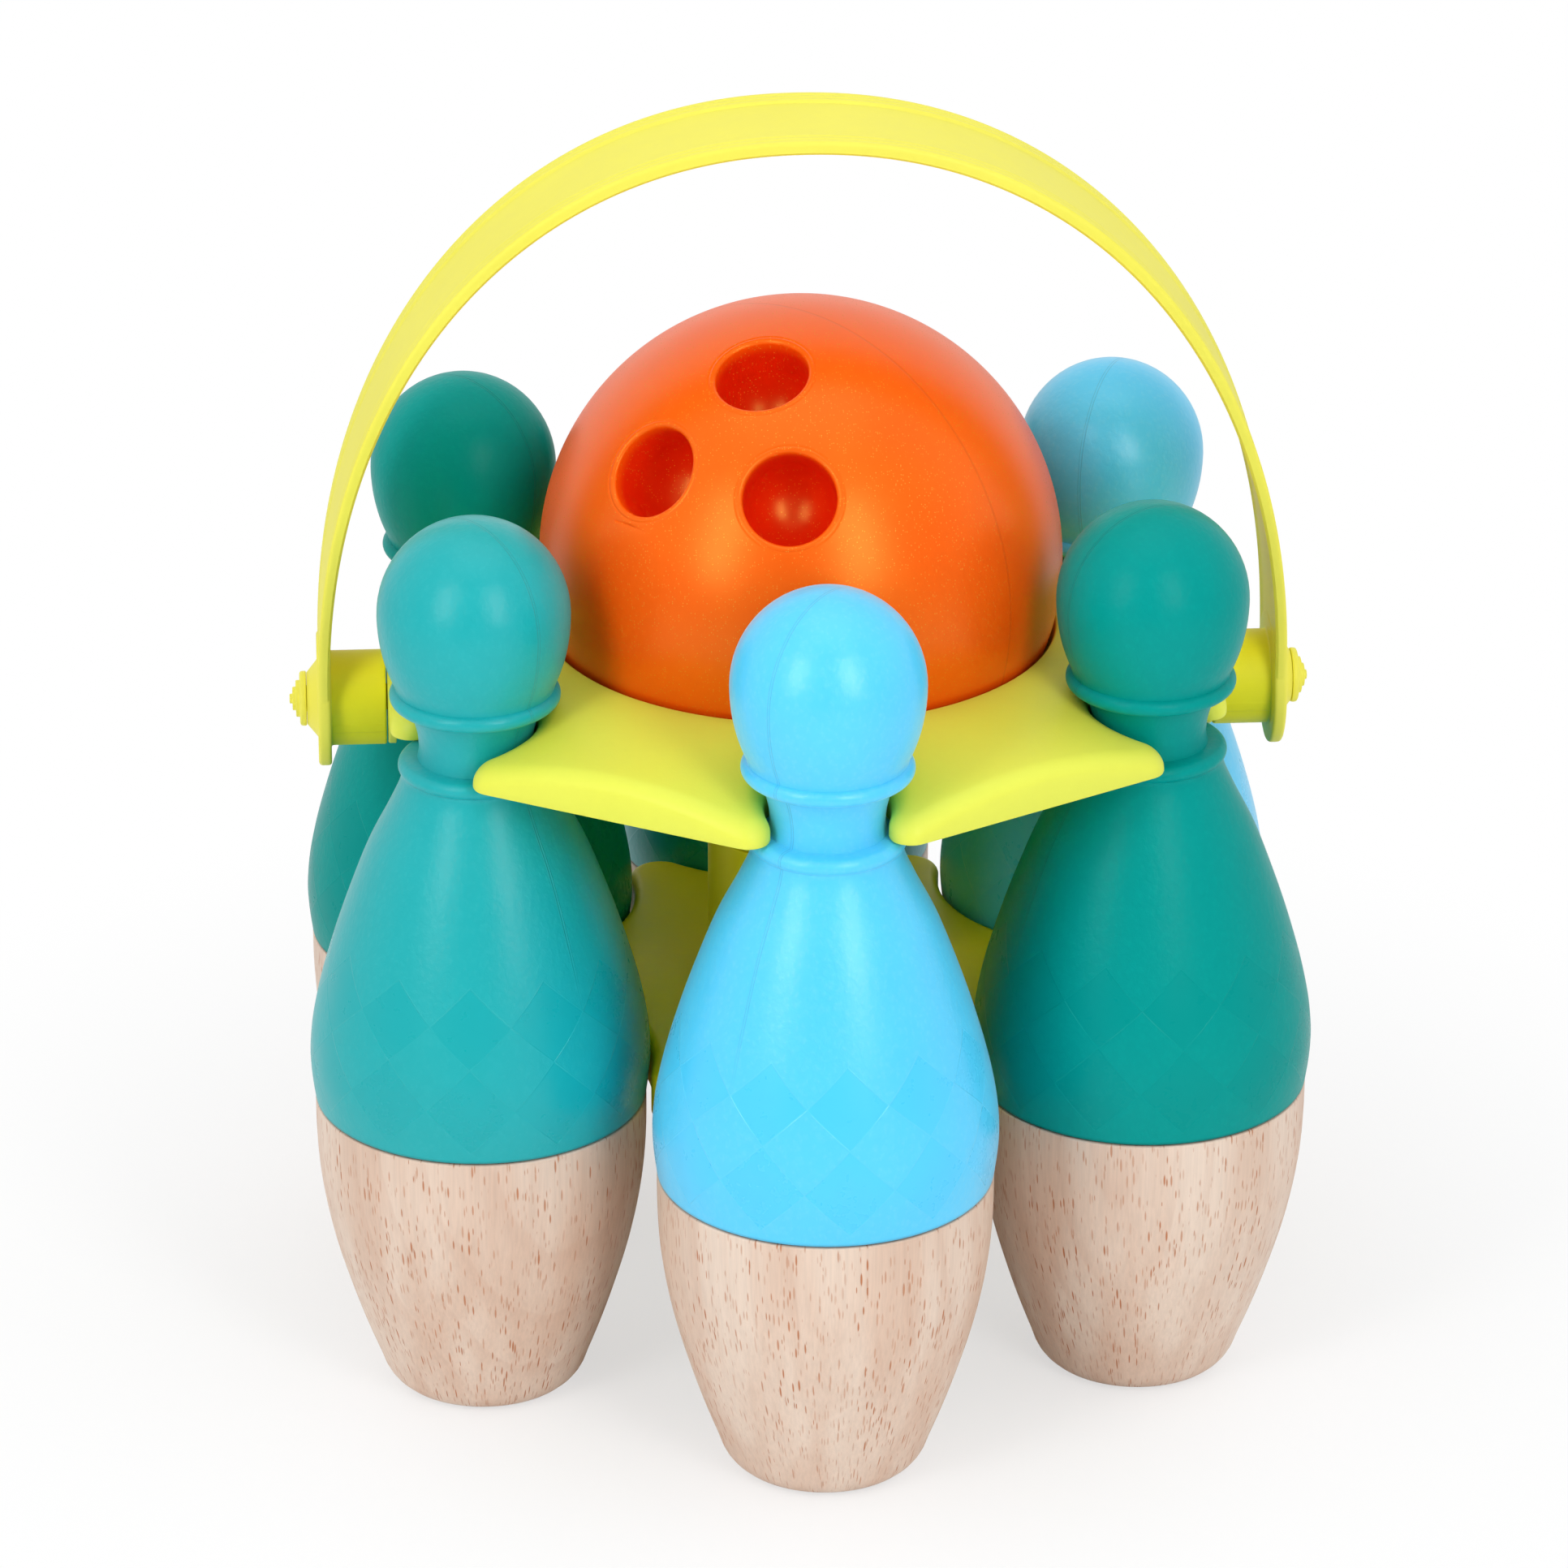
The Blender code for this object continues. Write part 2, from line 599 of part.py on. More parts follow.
def build_plate(lime):
    """The lower plate: a skirted star that lies on the column's flange."""
    bm = bmesh.new()
    arcs = plate_arcs()
    hole = COLUMN_RADIUS + FIT_GAP
    bore = [circle(bm, hole, PLATE_UNDER), circle(bm, hole, PLATE_TOP)]
    bands(bm, bore)
    edge = rolled_edge(bm, arcs, PLATE_ROLL, lambda x, y: PLATE_TOP)
    fill_between(bm, bore[1], edge[0])
    edge.append(ring(bm, [(x, y, PLATE_BOTTOM) for x, y in outline(arcs, 0)]))
    edge.append(ring(bm, [(x, y, PLATE_BOTTOM) for x, y in outline(arcs, PLATE_WALL)]))
    edge.append(ring(bm, [(x, y, PLATE_UNDER) for x, y in outline(arcs, PLATE_WALL)]))
    bands(bm, edge)
    fill_between(bm, edge[-1], bore[0])
    add_object("lower_plate", bm, lime)


def build_column(lime):
    """The hollow column between plate and cup, open below and closed by a web above."""
    bore = COLUMN_RADIUS - COLUMN_WALL
    flange = COLUMN_RADIUS + FLANGE_REACH
    seat = PLATE_UNDER - FIT_GAP
    bottom = seat - FLANGE_THICKNESS
    web = COLUMN_TOP - COLUMN_WEB
    outside = [(0, COLUMN_TOP), (COLUMN_RADIUS, COLUMN_TOP), (COLUMN_RADIUS, seat), (flange, seat)]
    inside = [(flange, bottom), (bore, bottom), (bore, web), (0, web)]
    column = add_object("column", turned(outside + inside, CUP_STEPS), lime)
    holes = screw_holes("column_screw_holes", web - CUT_OVERRUN, COLUMN_TOP + CUT_OVERRUN)
    combine(column, holes, "DIFFERENCE")


def build_screws(steel):
    """The screws driven up through the column's web into the tray's boss."""
    seat = COLUMN_TOP - COLUMN_WEB - FIT_GAP
    tip = BOSS_BOTTOM + SCREW_BITE
    profile = [
        (0, seat - SCREW_HEAD_HEIGHT),
        (SCREW_HEAD_RADIUS * SCREW_DOME_SHARE, seat - SCREW_HEAD_HEIGHT),
        (SCREW_HEAD_RADIUS, seat - SCREW_HEAD_HEIGHT * SCREW_RIM_SHARE),
        (SCREW_HEAD_RADIUS, seat),
        (SCREW_RADIUS, seat),
        (SCREW_RADIUS, tip - SCREW_RADIUS),
        (0, tip),
    ]
    for number, (x, y) in enumerate(screw_places(), 1):
        add_object(f"screw_{number}", turned(profile, SCREW_STEPS), steel, Matrix.Translation((x, y, 0)))


def arch_stations():
    """(x, z, outward x, outward z, share of the rise) along the handle's middle line.

    Heights are measured from the pivot line. The line is a superellipse on two straight feet.
    """
    rise = ARCH_RISE - ARCH_STRAIGHT
    foot = EAR_RADIUS * STRIP_FOOT_SHARE
    stations = [(EAR_MIDDLE, foot, 1, 0, 0)]
    for step in range(ARCH_STATIONS + 1):
        angle = pi * step / ARCH_STATIONS
        across = abs(cos(angle)) ** (2 / ARCH_POWER)
        up = abs(sin(angle)) ** (2 / ARCH_POWER)
        side = 1 if cos(angle) > 0 else -1
        slope_x = across ** (ARCH_POWER - 1) / EAR_MIDDLE
        slope_z = up ** (ARCH_POWER - 1) / rise
        length = hypot(slope_x, slope_z)
        place = (side * EAR_MIDDLE * across, ARCH_STRAIGHT + rise * up)
        stations.append((*place, side * slope_x / length, slope_z / length, up))
    stations.append((-EAR_MIDDLE, foot, -1, 0, 0))
    return stations


def strip_section(share):
    """(y, offset) points across the handle's strip: a flat inside and a sunk band outside."""
    foot = sqrt(EAR_RADIUS**2 - (EAR_RADIUS * STRIP_FOOT_SHARE) ** 2) - FIT_GAP
    half = foot + (STRIP_HALF_WIDTH - foot) * sqrt(share)
    depth = RIB_DEPTH * (RIB_FADE_SHARE + (1 - RIB_FADE_SHARE) * share)
    top = STRIP_THICKNESS / 2
    outside = [
        (half, top),
        (half - RIB_WIDTH, top),
        (half - RIB_WIDTH - depth, top - depth),
    ]
    return outside + [(-y, offset) for y, offset in reversed(outside)] + [(-half, -top), (half, -top)]


def build_handle(lime):
    """The arched strip and, at each end, a turned ear with its hub and cone."""
    bm = bmesh.new()
    rings = []
    for x, z, out_x, out_z, share in arch_stations():
        section = strip_section(share)
        rings.append(ring(bm, [(x + out_x * off, y, z + out_z * off) for y, off in section]))
    bands(bm, rings)
    bm.faces.new(rings[0])
    bm.faces.new(rings[-1])
    handle = add_object("handle", bm, lime, Matrix.Translation(PIVOT))
    profile = [
        (PIVOT_BORE_RADIUS, HUB_START),
        (HUB_RADIUS, HUB_START),
        (HUB_RADIUS, EAR_FACE),
        (EAR_RADIUS, EAR_FACE),
        (EAR_RADIUS, CONE_START),
        (CONE_RADIUS, CONE_START),
        (CONE_TIP_RADIUS, CONE_END),
        (PIVOT_BORE_RADIUS, CONE_END),
    ]
    for name, side in (("left_ear", -1), ("right_ear", 1)):
        ear = add_object(name, turned(profile, PIVOT_STEPS, closed=True), None, along_x(side))
        combine(handle, as_cutter(ear), "UNION")


def build_pivots(lime):
    """The two pivot pins, each with a stepped button for a head."""
    crown = []
    height = BUTTON_FACE + BUTTON_THICKNESS
    for across, up in CROWN_SHARES:
        crown.append((BUTTON_RADIUS * across, height))
        height += BUTTON_THICKNESS * up
        crown.append((BUTTON_RADIUS * across, height))
    start = LUG_FACE - LUG_THICKNESS - SOCKET_LENGTH
    profile = (
        [(0, start), (PIVOT_RADIUS, start), (PIVOT_RADIUS, BUTTON_FACE), (BUTTON_RADIUS, BUTTON_FACE)]
        + [(BUTTON_RADIUS, BUTTON_FACE + BUTTON_THICKNESS)]
        + crown
        + [(0, height)]
    )
    for name, side in (("left_pivot", -1), ("right_pivot", 1)):
        add_object(name, turned(profile, PIVOT_STEPS), lime, along_x(side))


def main():
    clear_scene()
    sky = finish("sky blue plastic", (0.10, 0.66, 1.00), 0.38)
    teal = finish("teal plastic", (0.036, 0.46, 0.50), 0.38)
    green = finish("sea green plastic", (0.004, 0.31, 0.28), 0.38)
    wood = finish("pale turned wood", (0.70, 0.54, 0.43), 0.55)
    lime = finish("lime plastic", (0.74, 0.80, 0.10), 0.45)
    orange = finish("orange plastic", (1.00, 0.17, 0.004), 0.32)
    steel = finish("zinc plated steel", (0.62, 0.62, 0.60), 0.35, 1.0)
    build_pins((sky, green, sky, teal, green, teal), wood)
    build_ball(orange)
    build_tray(lime)
    build_plate(lime)
    build_column(lime)
    build_screws(steel)
    build_handle(lime)
    build_pivots(lime)


main()
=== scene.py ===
"""Looks of the toy bowling set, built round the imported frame.

Metres, +Z up. The first pin stands on -Y and the handle turns about a line along X.
"""

import json
import logging
from dataclasses import dataclass
from enum import Enum
from math import acos, asin, atan2, ceil, cos, degrees, dist, hypot, pi, radians, sin, sqrt
from typing import Callable, Iterable, Mapping, Optional, Sequence, Union

import bmesh
import bpy
import numpy as np
from bpy.types import Material, Mesh, Node, NodeTree, Object
from mathutils import Matrix, Vector
from mathutils.geometry import delaunay_2d_cdt

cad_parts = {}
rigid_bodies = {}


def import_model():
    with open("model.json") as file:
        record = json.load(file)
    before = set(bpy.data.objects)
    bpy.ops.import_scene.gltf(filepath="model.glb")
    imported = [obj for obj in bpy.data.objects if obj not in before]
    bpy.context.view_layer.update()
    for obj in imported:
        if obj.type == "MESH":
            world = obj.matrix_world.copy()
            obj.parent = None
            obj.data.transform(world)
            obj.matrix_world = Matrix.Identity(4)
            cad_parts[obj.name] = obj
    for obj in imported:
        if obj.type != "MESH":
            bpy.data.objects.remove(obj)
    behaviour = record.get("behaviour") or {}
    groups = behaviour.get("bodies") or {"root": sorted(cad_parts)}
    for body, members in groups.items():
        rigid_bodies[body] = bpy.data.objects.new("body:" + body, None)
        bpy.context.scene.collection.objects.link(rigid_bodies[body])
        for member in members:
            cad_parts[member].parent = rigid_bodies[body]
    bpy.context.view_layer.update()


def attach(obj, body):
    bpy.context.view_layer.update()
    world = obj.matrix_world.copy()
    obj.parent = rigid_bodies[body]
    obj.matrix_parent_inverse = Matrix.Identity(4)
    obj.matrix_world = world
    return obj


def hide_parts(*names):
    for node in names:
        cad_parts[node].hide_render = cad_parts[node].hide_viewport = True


for leftover in list(bpy.data.objects):
    bpy.data.objects.remove(leftover)
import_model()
LOG = logging.getLogger("bowling_set")

Point = tuple[float, float]
Colour = tuple[float, float, float]
Level = Callable[[float, float], float]
Ring = list[bmesh.types.BMVert]

ORIGIN = (0.0, 0.0, 0.0)
WHITE = (1.0, 1.0, 1.0, 1.0)
WELD = 0.000002
PINS = 6
PIN_CIRCLE = 0.09035
SCREWS = 3


class Side(Enum):
    """An end of the handle's pivot line, with its sign along X."""

    LEFT = -1
    RIGHT = 1


class Slot(Enum):
    """The record's material slots."""

    SKY = "sky_plastic"
    TEAL = "teal_plastic"
    GREEN = "green_plastic"
    WOOD = "turned_wood"
    LIME = "lime_plastic"
    ORANGE = "orange_plastic"
    STEEL = "steel"


# Node trees


@dataclass(frozen=True)
class Wire:
    """What an output of a node puts out, for arithmetic with numbers and other wires."""

    graph: "Graph"
    socket: bpy.types.NodeSocket

    def __add__(self, other: "Value") -> "Wire":
        """The sum."""
        return self.graph.math("ADD", self, other)

    def __sub__(self, other: "Value") -> "Wire":
        """What is left without the other."""
        return self.graph.math("SUBTRACT", self, other)

    def __rsub__(self, other: "Value") -> "Wire":
        """What is left of the other."""
        return self.graph.math("SUBTRACT", other, self)

    def __mul__(self, other: "Value") -> "Wire":
        """The product."""
        return self.graph.math("MULTIPLY", self, other)

    def __truediv__(self, other: "Value") -> "Wire":
        """The share of the other."""
        return self.graph.math("DIVIDE", self, other)

    def __rtruediv__(self, other: "Value") -> "Wire":
        """The other's share of this."""
        return self.graph.math("DIVIDE", other, self)

    def __mod__(self, other: "Value") -> "Wire":
        """The rest of a division."""
        return self.graph.math("MODULO", self, other)

    def __pow__(self, other: "Value") -> "Wire":
        """The power."""
        return self.graph.math("POWER", self, other)

    def __abs__(self) -> "Wire":
        """The size without its sign."""
        return self.graph.math("ABSOLUTE", self)

    __radd__ = __add__
    __rmul__ = __mul__


Value = Union[Wire, float, int, Sequence[float], Material]
Inputs = Mapping[Union[str, int], Value]


class Graph:
    """A node tree being wired up, for a shader or for geometry."""

    def __init__(self, tree: NodeTree) -> None:
        """Takes the tree to wire up."""
        self.tree = tree

    def node(self, kind: str, inputs: Optional[Inputs] = None, **settings: object) -> Node:
        """Adds a node.

        Args:
            kind: the node's type.
            inputs: values or wires, by the input's name or number.
            settings: the node's own properties.

        Returns:
            The new node.
        """
        node = self.tree.nodes.new(kind)
        for key, value in settings.items():
            setattr(node, key, value)
        self.feed(node, inputs or {})
        return node

    def feed(self, node: Node, inputs: Inputs) -> None:
        """Sets a node's inputs to values or wires.

        Args:
            node: the node.
            inputs: values or wires, by the input's name or number.
        """
        for key, value in inputs.items():
            if isinstance(value, Wire):
                self.tree.links.new(value.socket, node.inputs[key])
            else:
                node.inputs[key].default_value = value

    def outputs(self, node: Node) -> dict[str, Wire]:
        """A node's outputs by name."""
        return {socket.name: Wire(self, socket) for socket in node.outputs}

    def add(
        self, kind: str, inputs: Optional[Inputs] = None, output: Union[str, int] = 0, **settings: object
    ) -> Wire:
        """Adds a node and returns one of its outputs."""
        return Wire(self, self.node(kind, inputs, **settings).outputs[output])

    def math(self, operation: str, *values: Value) -> Wire:
        """One step of arithmetic on numbers."""
        return self.add("ShaderNodeMath", dict(enumerate(values)), operation=operation)

    def vector(self, operation: str, *values: Value, output: str = "Vector") -> Wire:
        """One step of arithmetic on vectors."""
        return self.add("ShaderNodeVectorMath", dict(enumerate(values)), output, operation=operation)

    def parts(self, vector: Value) -> Sequence[Wire]:
        """The x, y and z of a vector."""
        return list(self.outputs(self.node("ShaderNodeSeparateXYZ", {0: vector})).values())

    def join(self, x: Value, y: Value, z: Value) -> Wire:
        """A vector from its x, y and z."""
        return self.add("ShaderNodeCombineXYZ", {0: x, 1: y, 2: z})

    def step(self, value: Value, low: float, high: float, start: Value = 0.0, end: Value = 1.0) -> Wire:
        """A smooth step from start to end while value goes from low to high."""
        inputs = {0: value, 1: low, 2: high, 3: start, 4: end}
        return self.add("ShaderNodeMapRange", inputs, interpolation_type="SMOOTHSTEP")

    def mix(self, share: Value, first: Value, second: Value, blend: str = "MIX") -> Wire:
        """A mix of two colours, each a wire or its red, green and blue.

        Args:
            share: the second colour's share.
            first: the first colour.
            second: the second colour.
            blend: how they are blended.

        Returns:
            The mixed colour.
        """
        pair = [value if isinstance(value, Wire) else (*value, 1) for value in (first, second)]
        inputs = {0: share, 6: pair[0], 7: pair[1]}
        return self.add("ShaderNodeMix", inputs, 2, data_type="RGBA", blend_type=blend)

    def scaled(self, colour: Value, tone: Value) -> Wire:
        """A colour made lighter or darker by a tone near 1."""
        return self.mix(1.0, colour, self.join(tone, tone, tone), "MULTIPLY")

    def noise(self, place: Value, size: float, detail: float = 2.0, rough: float = 0.5) -> Wire:
        """Soft noise from 0 to 1 whose lumps are about size across."""
        inputs = {"Vector": place, "Scale": 1 / size, "Detail": detail, "Roughness": rough}
        return self.add("ShaderNodeTexNoise", inputs)

    def cells(self, place: Value, size: float) -> dict[str, Wire]:
        """Cells about size across: the distance from their middles, and a colour that differs by cell."""
        return self.outputs(self.node("ShaderNodeTexVoronoi", {"Vector": place, "Scale": 1 / size}))

    def end(self, *values: Wire) -> NodeTree:
        """Puts values out of a node group and returns the group."""
        self.node("NodeGroupOutput", dict(enumerate(values)))
        return self.tree


def new_tree(
    name: str, kind: str, inputs: Mapping[str, object], outputs: Iterable[str]
) -> tuple[Graph, dict[str, Wire]]:
    """Starts a node group.

    Args:
        name: the group's name.
        kind: "ShaderNodeTree" or "GeometryNodeTree".
        inputs: each input's default, which also sets its type. None stands for a geometry.
        outputs: the outputs' names: numbers in a shader, or geometries.

    Returns:
        The graph and its inputs by name.
    """
    tree = bpy.data.node_groups.new(name, kind)
    for label, default in inputs.items():
        if default is None:
            sort = "NodeSocketGeometry"
        elif isinstance(default, int):
            sort = "NodeSocketInt"
        elif isinstance(default, float):
            sort = "NodeSocketFloat"
        elif isinstance(default, type):
            sort = "NodeSocketMaterial"
        else:
            sort = "NodeSocketVector"
        socket = tree.interface.new_socket(label, in_out="INPUT", socket_type=sort)
        if sort not in ("NodeSocketGeometry", "NodeSocketMaterial"):
            socket.default_value = default
    for label in outputs:
        sort = "NodeSocketGeometry" if kind == "GeometryNodeTree" else "NodeSocketFloat"
        tree.interface.new_socket(label, in_out="OUTPUT", socket_type=sort)
    graph = Graph(tree)
    given = graph.outputs(graph.node("NodeGroupInput"))
    return graph, {label: given[label] for label in inputs}


def run_tree(
    tree: NodeTree, points: Union[Sequence[Sequence[float]], Mesh], values: Mapping[str, object]
) -> Mesh:
    """Runs a geometry tree on loose points or a mesh and returns a plain mesh.

    Args:
        tree: the geometry node group.
        points: the points that the tree takes as its geometry, or a mesh.
        values: values for the tree's named inputs.

    Returns:
        The mesh that the tree makes.
    """
    source = points
    if not isinstance(source, Mesh):
        source = bpy.data.meshes.new("outline")
        source.from_pydata([tuple(point) for point in points], [], [])
    holder = show("holder", source)
    modifier = holder.modifiers.new("shape", "NODES")
    modifier.node_group = tree
    for item in tree.interface.items_tree:
        if item.in_out == "INPUT" and item.name in values:
            modifier[item.identifier] = values[item.name]
    mesh = evaluated_mesh(holder)
    holder.modifiers.remove(modifier)
    bpy.data.objects.remove(holder)
    return mesh


def grid_rows(graph: Graph, rows: Wire, columns: Wire) -> tuple[Wire, Wire, Wire]:
    """A grid, and the row and the column of each of its points.

    Args:
        graph: the tree.
        rows: how many rows the grid has.
        columns: how many points a row has.

    Returns:
        The grid, the rows and the columns.
    """
    grid = graph.add("GeometryNodeMeshGrid", {"Vertices X": rows, "Vertices Y": columns})
    index = graph.add("GeometryNodeInputIndex")
    row = graph.math("FLOOR", index / columns)
    return grid, row, index - row * columns


def point_at(graph: Graph, points: Wire, index: Wire) -> Sequence[Wire]:
    """The x, y and z of the point that has an index."""
    inputs = {"Geometry": points, "Value": graph.add("GeometryNodeInputPosition"), "Index": index}
    return graph.parts(graph.add("GeometryNodeSampleIndex", inputs, data_type="FLOAT_VECTOR", domain="POINT"))


def welded(graph: Graph, grid: Wire, places: Wire) -> Wire:
    """A grid whose points are moved to their places, and merged where they meet."""
    moved = graph.add("GeometryNodeSetPosition", {"Geometry": grid, "Position": places})
    return graph.add("GeometryNodeMergeByDistance", {"Geometry": moved, "Distance": WELD})


def end_geometry(graph: Graph, shape: Wire, finish: Wire) -> NodeTree:
    """Ends a geometry tree in Realize Instances and Set Material."""
    real = graph.add("GeometryNodeRealizeInstances", {0: shape})
    return graph.end(graph.add("GeometryNodeSetMaterial", {"Geometry": real, "Material": finish}))


def turned_tree() -> NodeTree:
    """Geometry tree that turns an outline of (radius, 0, height) points about Z and places it.

    Returns:
        The node group.
    """
    inputs = {"Outline": None, "Steps": 96, "Turn": ORIGIN, "Place": ORIGIN, "Finish": Material}
    graph, given = new_tree("turned body", "GeometryNodeTree", inputs, ["Body"])
    outline, steps, turn, place, finish = given.values()
    count = graph.add("GeometryNodeAttributeDomainSize", {0: outline}, "Point Count")
    grid, row, column = grid_rows(graph, count, steps + 1)
    radius, _, height = point_at(graph, outline, row)
    angle = column / steps * (2 * pi)
    across = radius * graph.math("COSINE", angle)
    along = radius * graph.math("SINE", angle)
    body = welded(graph, grid, graph.join(across, along, height))
    placed = graph.add("GeometryNodeTransform", {"Geometry": body, "Translation": place, "Rotation": turn})
    return end_geometry(graph, placed, finish)


def circle_tree() -> NodeTree:
    """Geometry tree that stands copies of a piece at even steps on a circle.

    Returns:
        The node group.
    """
    inputs = {"Piece": None, "Count": 3, "Radius": 0.01, "Finish": Material}
    graph, given = new_tree("pieces on a circle", "GeometryNodeTree", inputs, ["Pieces"])
    piece, count, radius, finish = given.values()
    ring = graph.add("GeometryNodeMeshCircle", {"Vertices": count, "Radius": radius})
    copies = graph.add("GeometryNodeInstanceOnPoints", {"Points": ring, "Instance": piece})
    return end_geometry(graph, copies, finish)


def arch_tree() -> NodeTree:
    """Geometry tree that sweeps a strip's section along a superellipse arch on straight feet.

    Each point of the section is (across, offset, offset where the ribs have faded).

    Returns:
        The node group.
    """
    sizes = {
        "Half span": 0.113,
        "Rise": 0.135,
        "Power": 2.13,
        "Straight": 0.0064,
        "Foot": 0.0045,
        "Foot width": 0.86,
        "Fade": 0.2,
    }
    inputs = {"Section": None, "Stations": 120, **sizes, "Place": ORIGIN, "Finish": Material}
    graph, size = new_tree("arch strip", "GeometryNodeTree", inputs, ["Strip"])
    count = graph.add("GeometryNodeAttributeDomainSize", {0: size["Section"]}, "Point Count")
    grid, row, column = grid_rows(graph, size["Stations"] + 3, count + 1)
    across, offset, faded = point_at(graph, size["Section"], column % count)

    step = (row - 1) / size["Stations"]
    angle = graph.math("MINIMUM", graph.math("MAXIMUM", step, 0), 1) * pi
    root = 2 / size["Power"]
    side = graph.math("SIGN", graph.math("COSINE", angle))
    out = abs(graph.math("COSINE", angle)) ** root
    up = abs(graph.math("SINE", angle)) ** root
    lean = size["Power"] - 1
    slope_x = side * (out**lean / size["Half span"])
    slope_z = up**lean / size["Rise"]
    normal = graph.vector("NORMALIZE", graph.join(slope_x, 0, slope_z))
    on_arch = graph.math("LESS_THAN", abs(step - 0.5), 0.501)
    level = size["Foot"] + on_arch * (size["Straight"] - size["Foot"])
    middle = graph.join(side * (size["Half span"] * out), 0, level + size["Rise"] * up)

    fade = size["Fade"] + (1 - size["Fade"]) * up
    lift = faded + (offset - faded) * fade
    width = size["Foot width"] + (1 - size["Foot width"]) * graph.math("SQRT", up)
    spot = graph.vector("ADD", middle, graph.vector("MULTIPLY", normal, graph.join(lift, lift, lift)))
    spot = graph.vector("ADD", spot, graph.join(0, across * width, 0))
    strip = welded(graph, grid, graph.vector("ADD", spot, size["Place"]))
    return end_geometry(graph, strip, size["Finish"])


# Outlines and meshes


def arc(centre: Point, radii: Point, start: float, end: float, steps: int) -> list[Point]:
    """Points along an elliptical arc, from start to end in degrees."""
    turns = [radians(start + (end - start) * step / steps) for step in range(steps + 1)]
    return [(centre[0] + radii[0] * cos(turn), centre[1] + radii[1] * sin(turn)) for turn in turns]


def smooth_line(points: Sequence[Point], spacing: float) -> list[Point]:
    """Points about spacing apart on a smooth curve through the given ones.

    Args:
        points: the points to go through.
        spacing: about how far apart the new points lie.

    Returns:
        The new points.
    """
    given = np.array(points)
    lengths = np.concatenate([[0], np.cumsum(np.linalg.norm(np.diff(given, axis=0), axis=1))])
    slopes = np.gradient(given, lengths, axis=0)
    line = []
    for number in range(len(given) - 1):
        length = lengths[number + 1] - lengths[number]
        for share in np.linspace(0, 1, max(1, ceil(length / spacing)), endpoint=False):
            back, turn = (1 - share) ** 2, share**2 * (3 - 2 * share)
            here = (1 - turn) * given[number] + turn * given[number + 1]
            here = here + length * share * back * slopes[number]
            here = here - length * share**2 * (1 - share) * slopes[number + 1]
            line.append(tuple(here))
    return line + [tuple(given[-1])]


def rounded(
    corners: Sequence[tuple[float, float, float]], steps: int = 4, closed: bool = False
) -> list[Point]:
    """Outline whose corners are rounded.

    Args:
        corners: (x, y, radius) of each corner.
        steps: steps of each rounding.
        closed: whether the last corner joins the first, so that both are rounded.

    Returns:
        The outline's points. A rounding takes less than half of each side.
    """
    line = []
    most = 0.49
    for number, (x, y, radius) in enumerate(corners):
        here = Vector((x, y))
        if not radius or (not closed and number in (0, len(corners) - 1)):
            line.append((x, y))
            continue
        before = Vector(corners[number - 1][:2]) - here
        after = Vector(corners[(number + 1) % len(corners)][:2]) - here
        half = before.angle(after) / 2
        reach = min(radius / np.tan(half), before.length * most, after.length * most)
        first, last = here + before.normalized() * reach, here + after.normalized() * reach
        for share in np.linspace(0, 1, steps + 1):
            near = first.lerp(here, share).lerp(here.lerp(last, share), share)
            line.append((near.x, near.y))
    return line


def on_circle(radius: float, count: int) -> list[Point]:
    """Even places on a circle."""
    turns = [2 * pi * step / count for step in range(count)]
    return [(radius * cos(turn), radius * sin(turn)) for turn in turns]


def pin_turn(index: int) -> float:
    """Direction of a pin, numbered from 0, as an angle about the Z axis."""
    return radians(60 * index - 90)


def show(name: str, data: bpy.types.ID) -> Object:
    """Adds an object to the scene.

    Args:
        name: the object's name.
        data: its mesh, lamp or camera.

    Returns:
        The object.
    """
    obj = bpy.data.objects.new(name, data)
    bpy.context.scene.collection.objects.link(obj)
    return obj


def baked(bm: bmesh.types.BMesh, name: str) -> Mesh:
    """Turns a finished bmesh into a mesh.

    Args:
        bm: the bmesh, which is freed.
        name: the mesh's name.

    Returns:
        The mesh.
    """
    mesh = bpy.data.meshes.new(name)
    bm.to_mesh(mesh)
    bm.free()
    return mesh


def evaluated_mesh(obj: Object) -> Mesh:
    """A plain mesh of an object with its modifiers."""
    return bpy.data.meshes.new_from_object(obj.evaluated_get(bpy.context.evaluated_depsgraph_get()))


def add_piece(
    name: str,
    meshes: Sequence[Mesh],
    finish: Material,
    body: str,
    slot: Slot,
    nodes: Sequence[str],
    sharp: float = 32.0,
) -> Object:
    """Joins meshes into one finished piece at the origin, with its faces pointing out.

    Args:
        name: the object's name.
        meshes: the meshes, already in their places.
        finish: the material of all of them.
        body: the body that the piece rides on.
        slot: the piece's material slot; not used.
        nodes: the solids that the piece stands for.
        sharp: least angle in degrees of an edge that stays crisp.

    Returns:
        The piece.
    """
    bm = bmesh.new()
    for part in meshes:
        piece = bmesh.new()
        piece.from_mesh(part)
        bmesh.ops.remove_doubles(piece, verts=piece.verts, dist=WELD)
        open_edges = [edge for edge in piece.edges if edge.is_boundary]
        if open_edges:
            bmesh.ops.holes_fill(piece, edges=open_edges, sides=0)
        bmesh.ops.recalc_face_normals(piece, faces=piece.faces)
        joined = baked(piece, name)
        bm.from_mesh(joined)
        bpy.data.meshes.remove(joined)
    for face in bm.faces:
        face.material_index = 0
    mesh = baked(bm, name)
    mesh.materials.append(finish)
    mesh.shade_smooth()
    mesh.set_sharp_from_angle(angle=radians(sharp))
    obj = show(name, mesh)
    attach(obj, body)
    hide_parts(*nodes)
    return obj


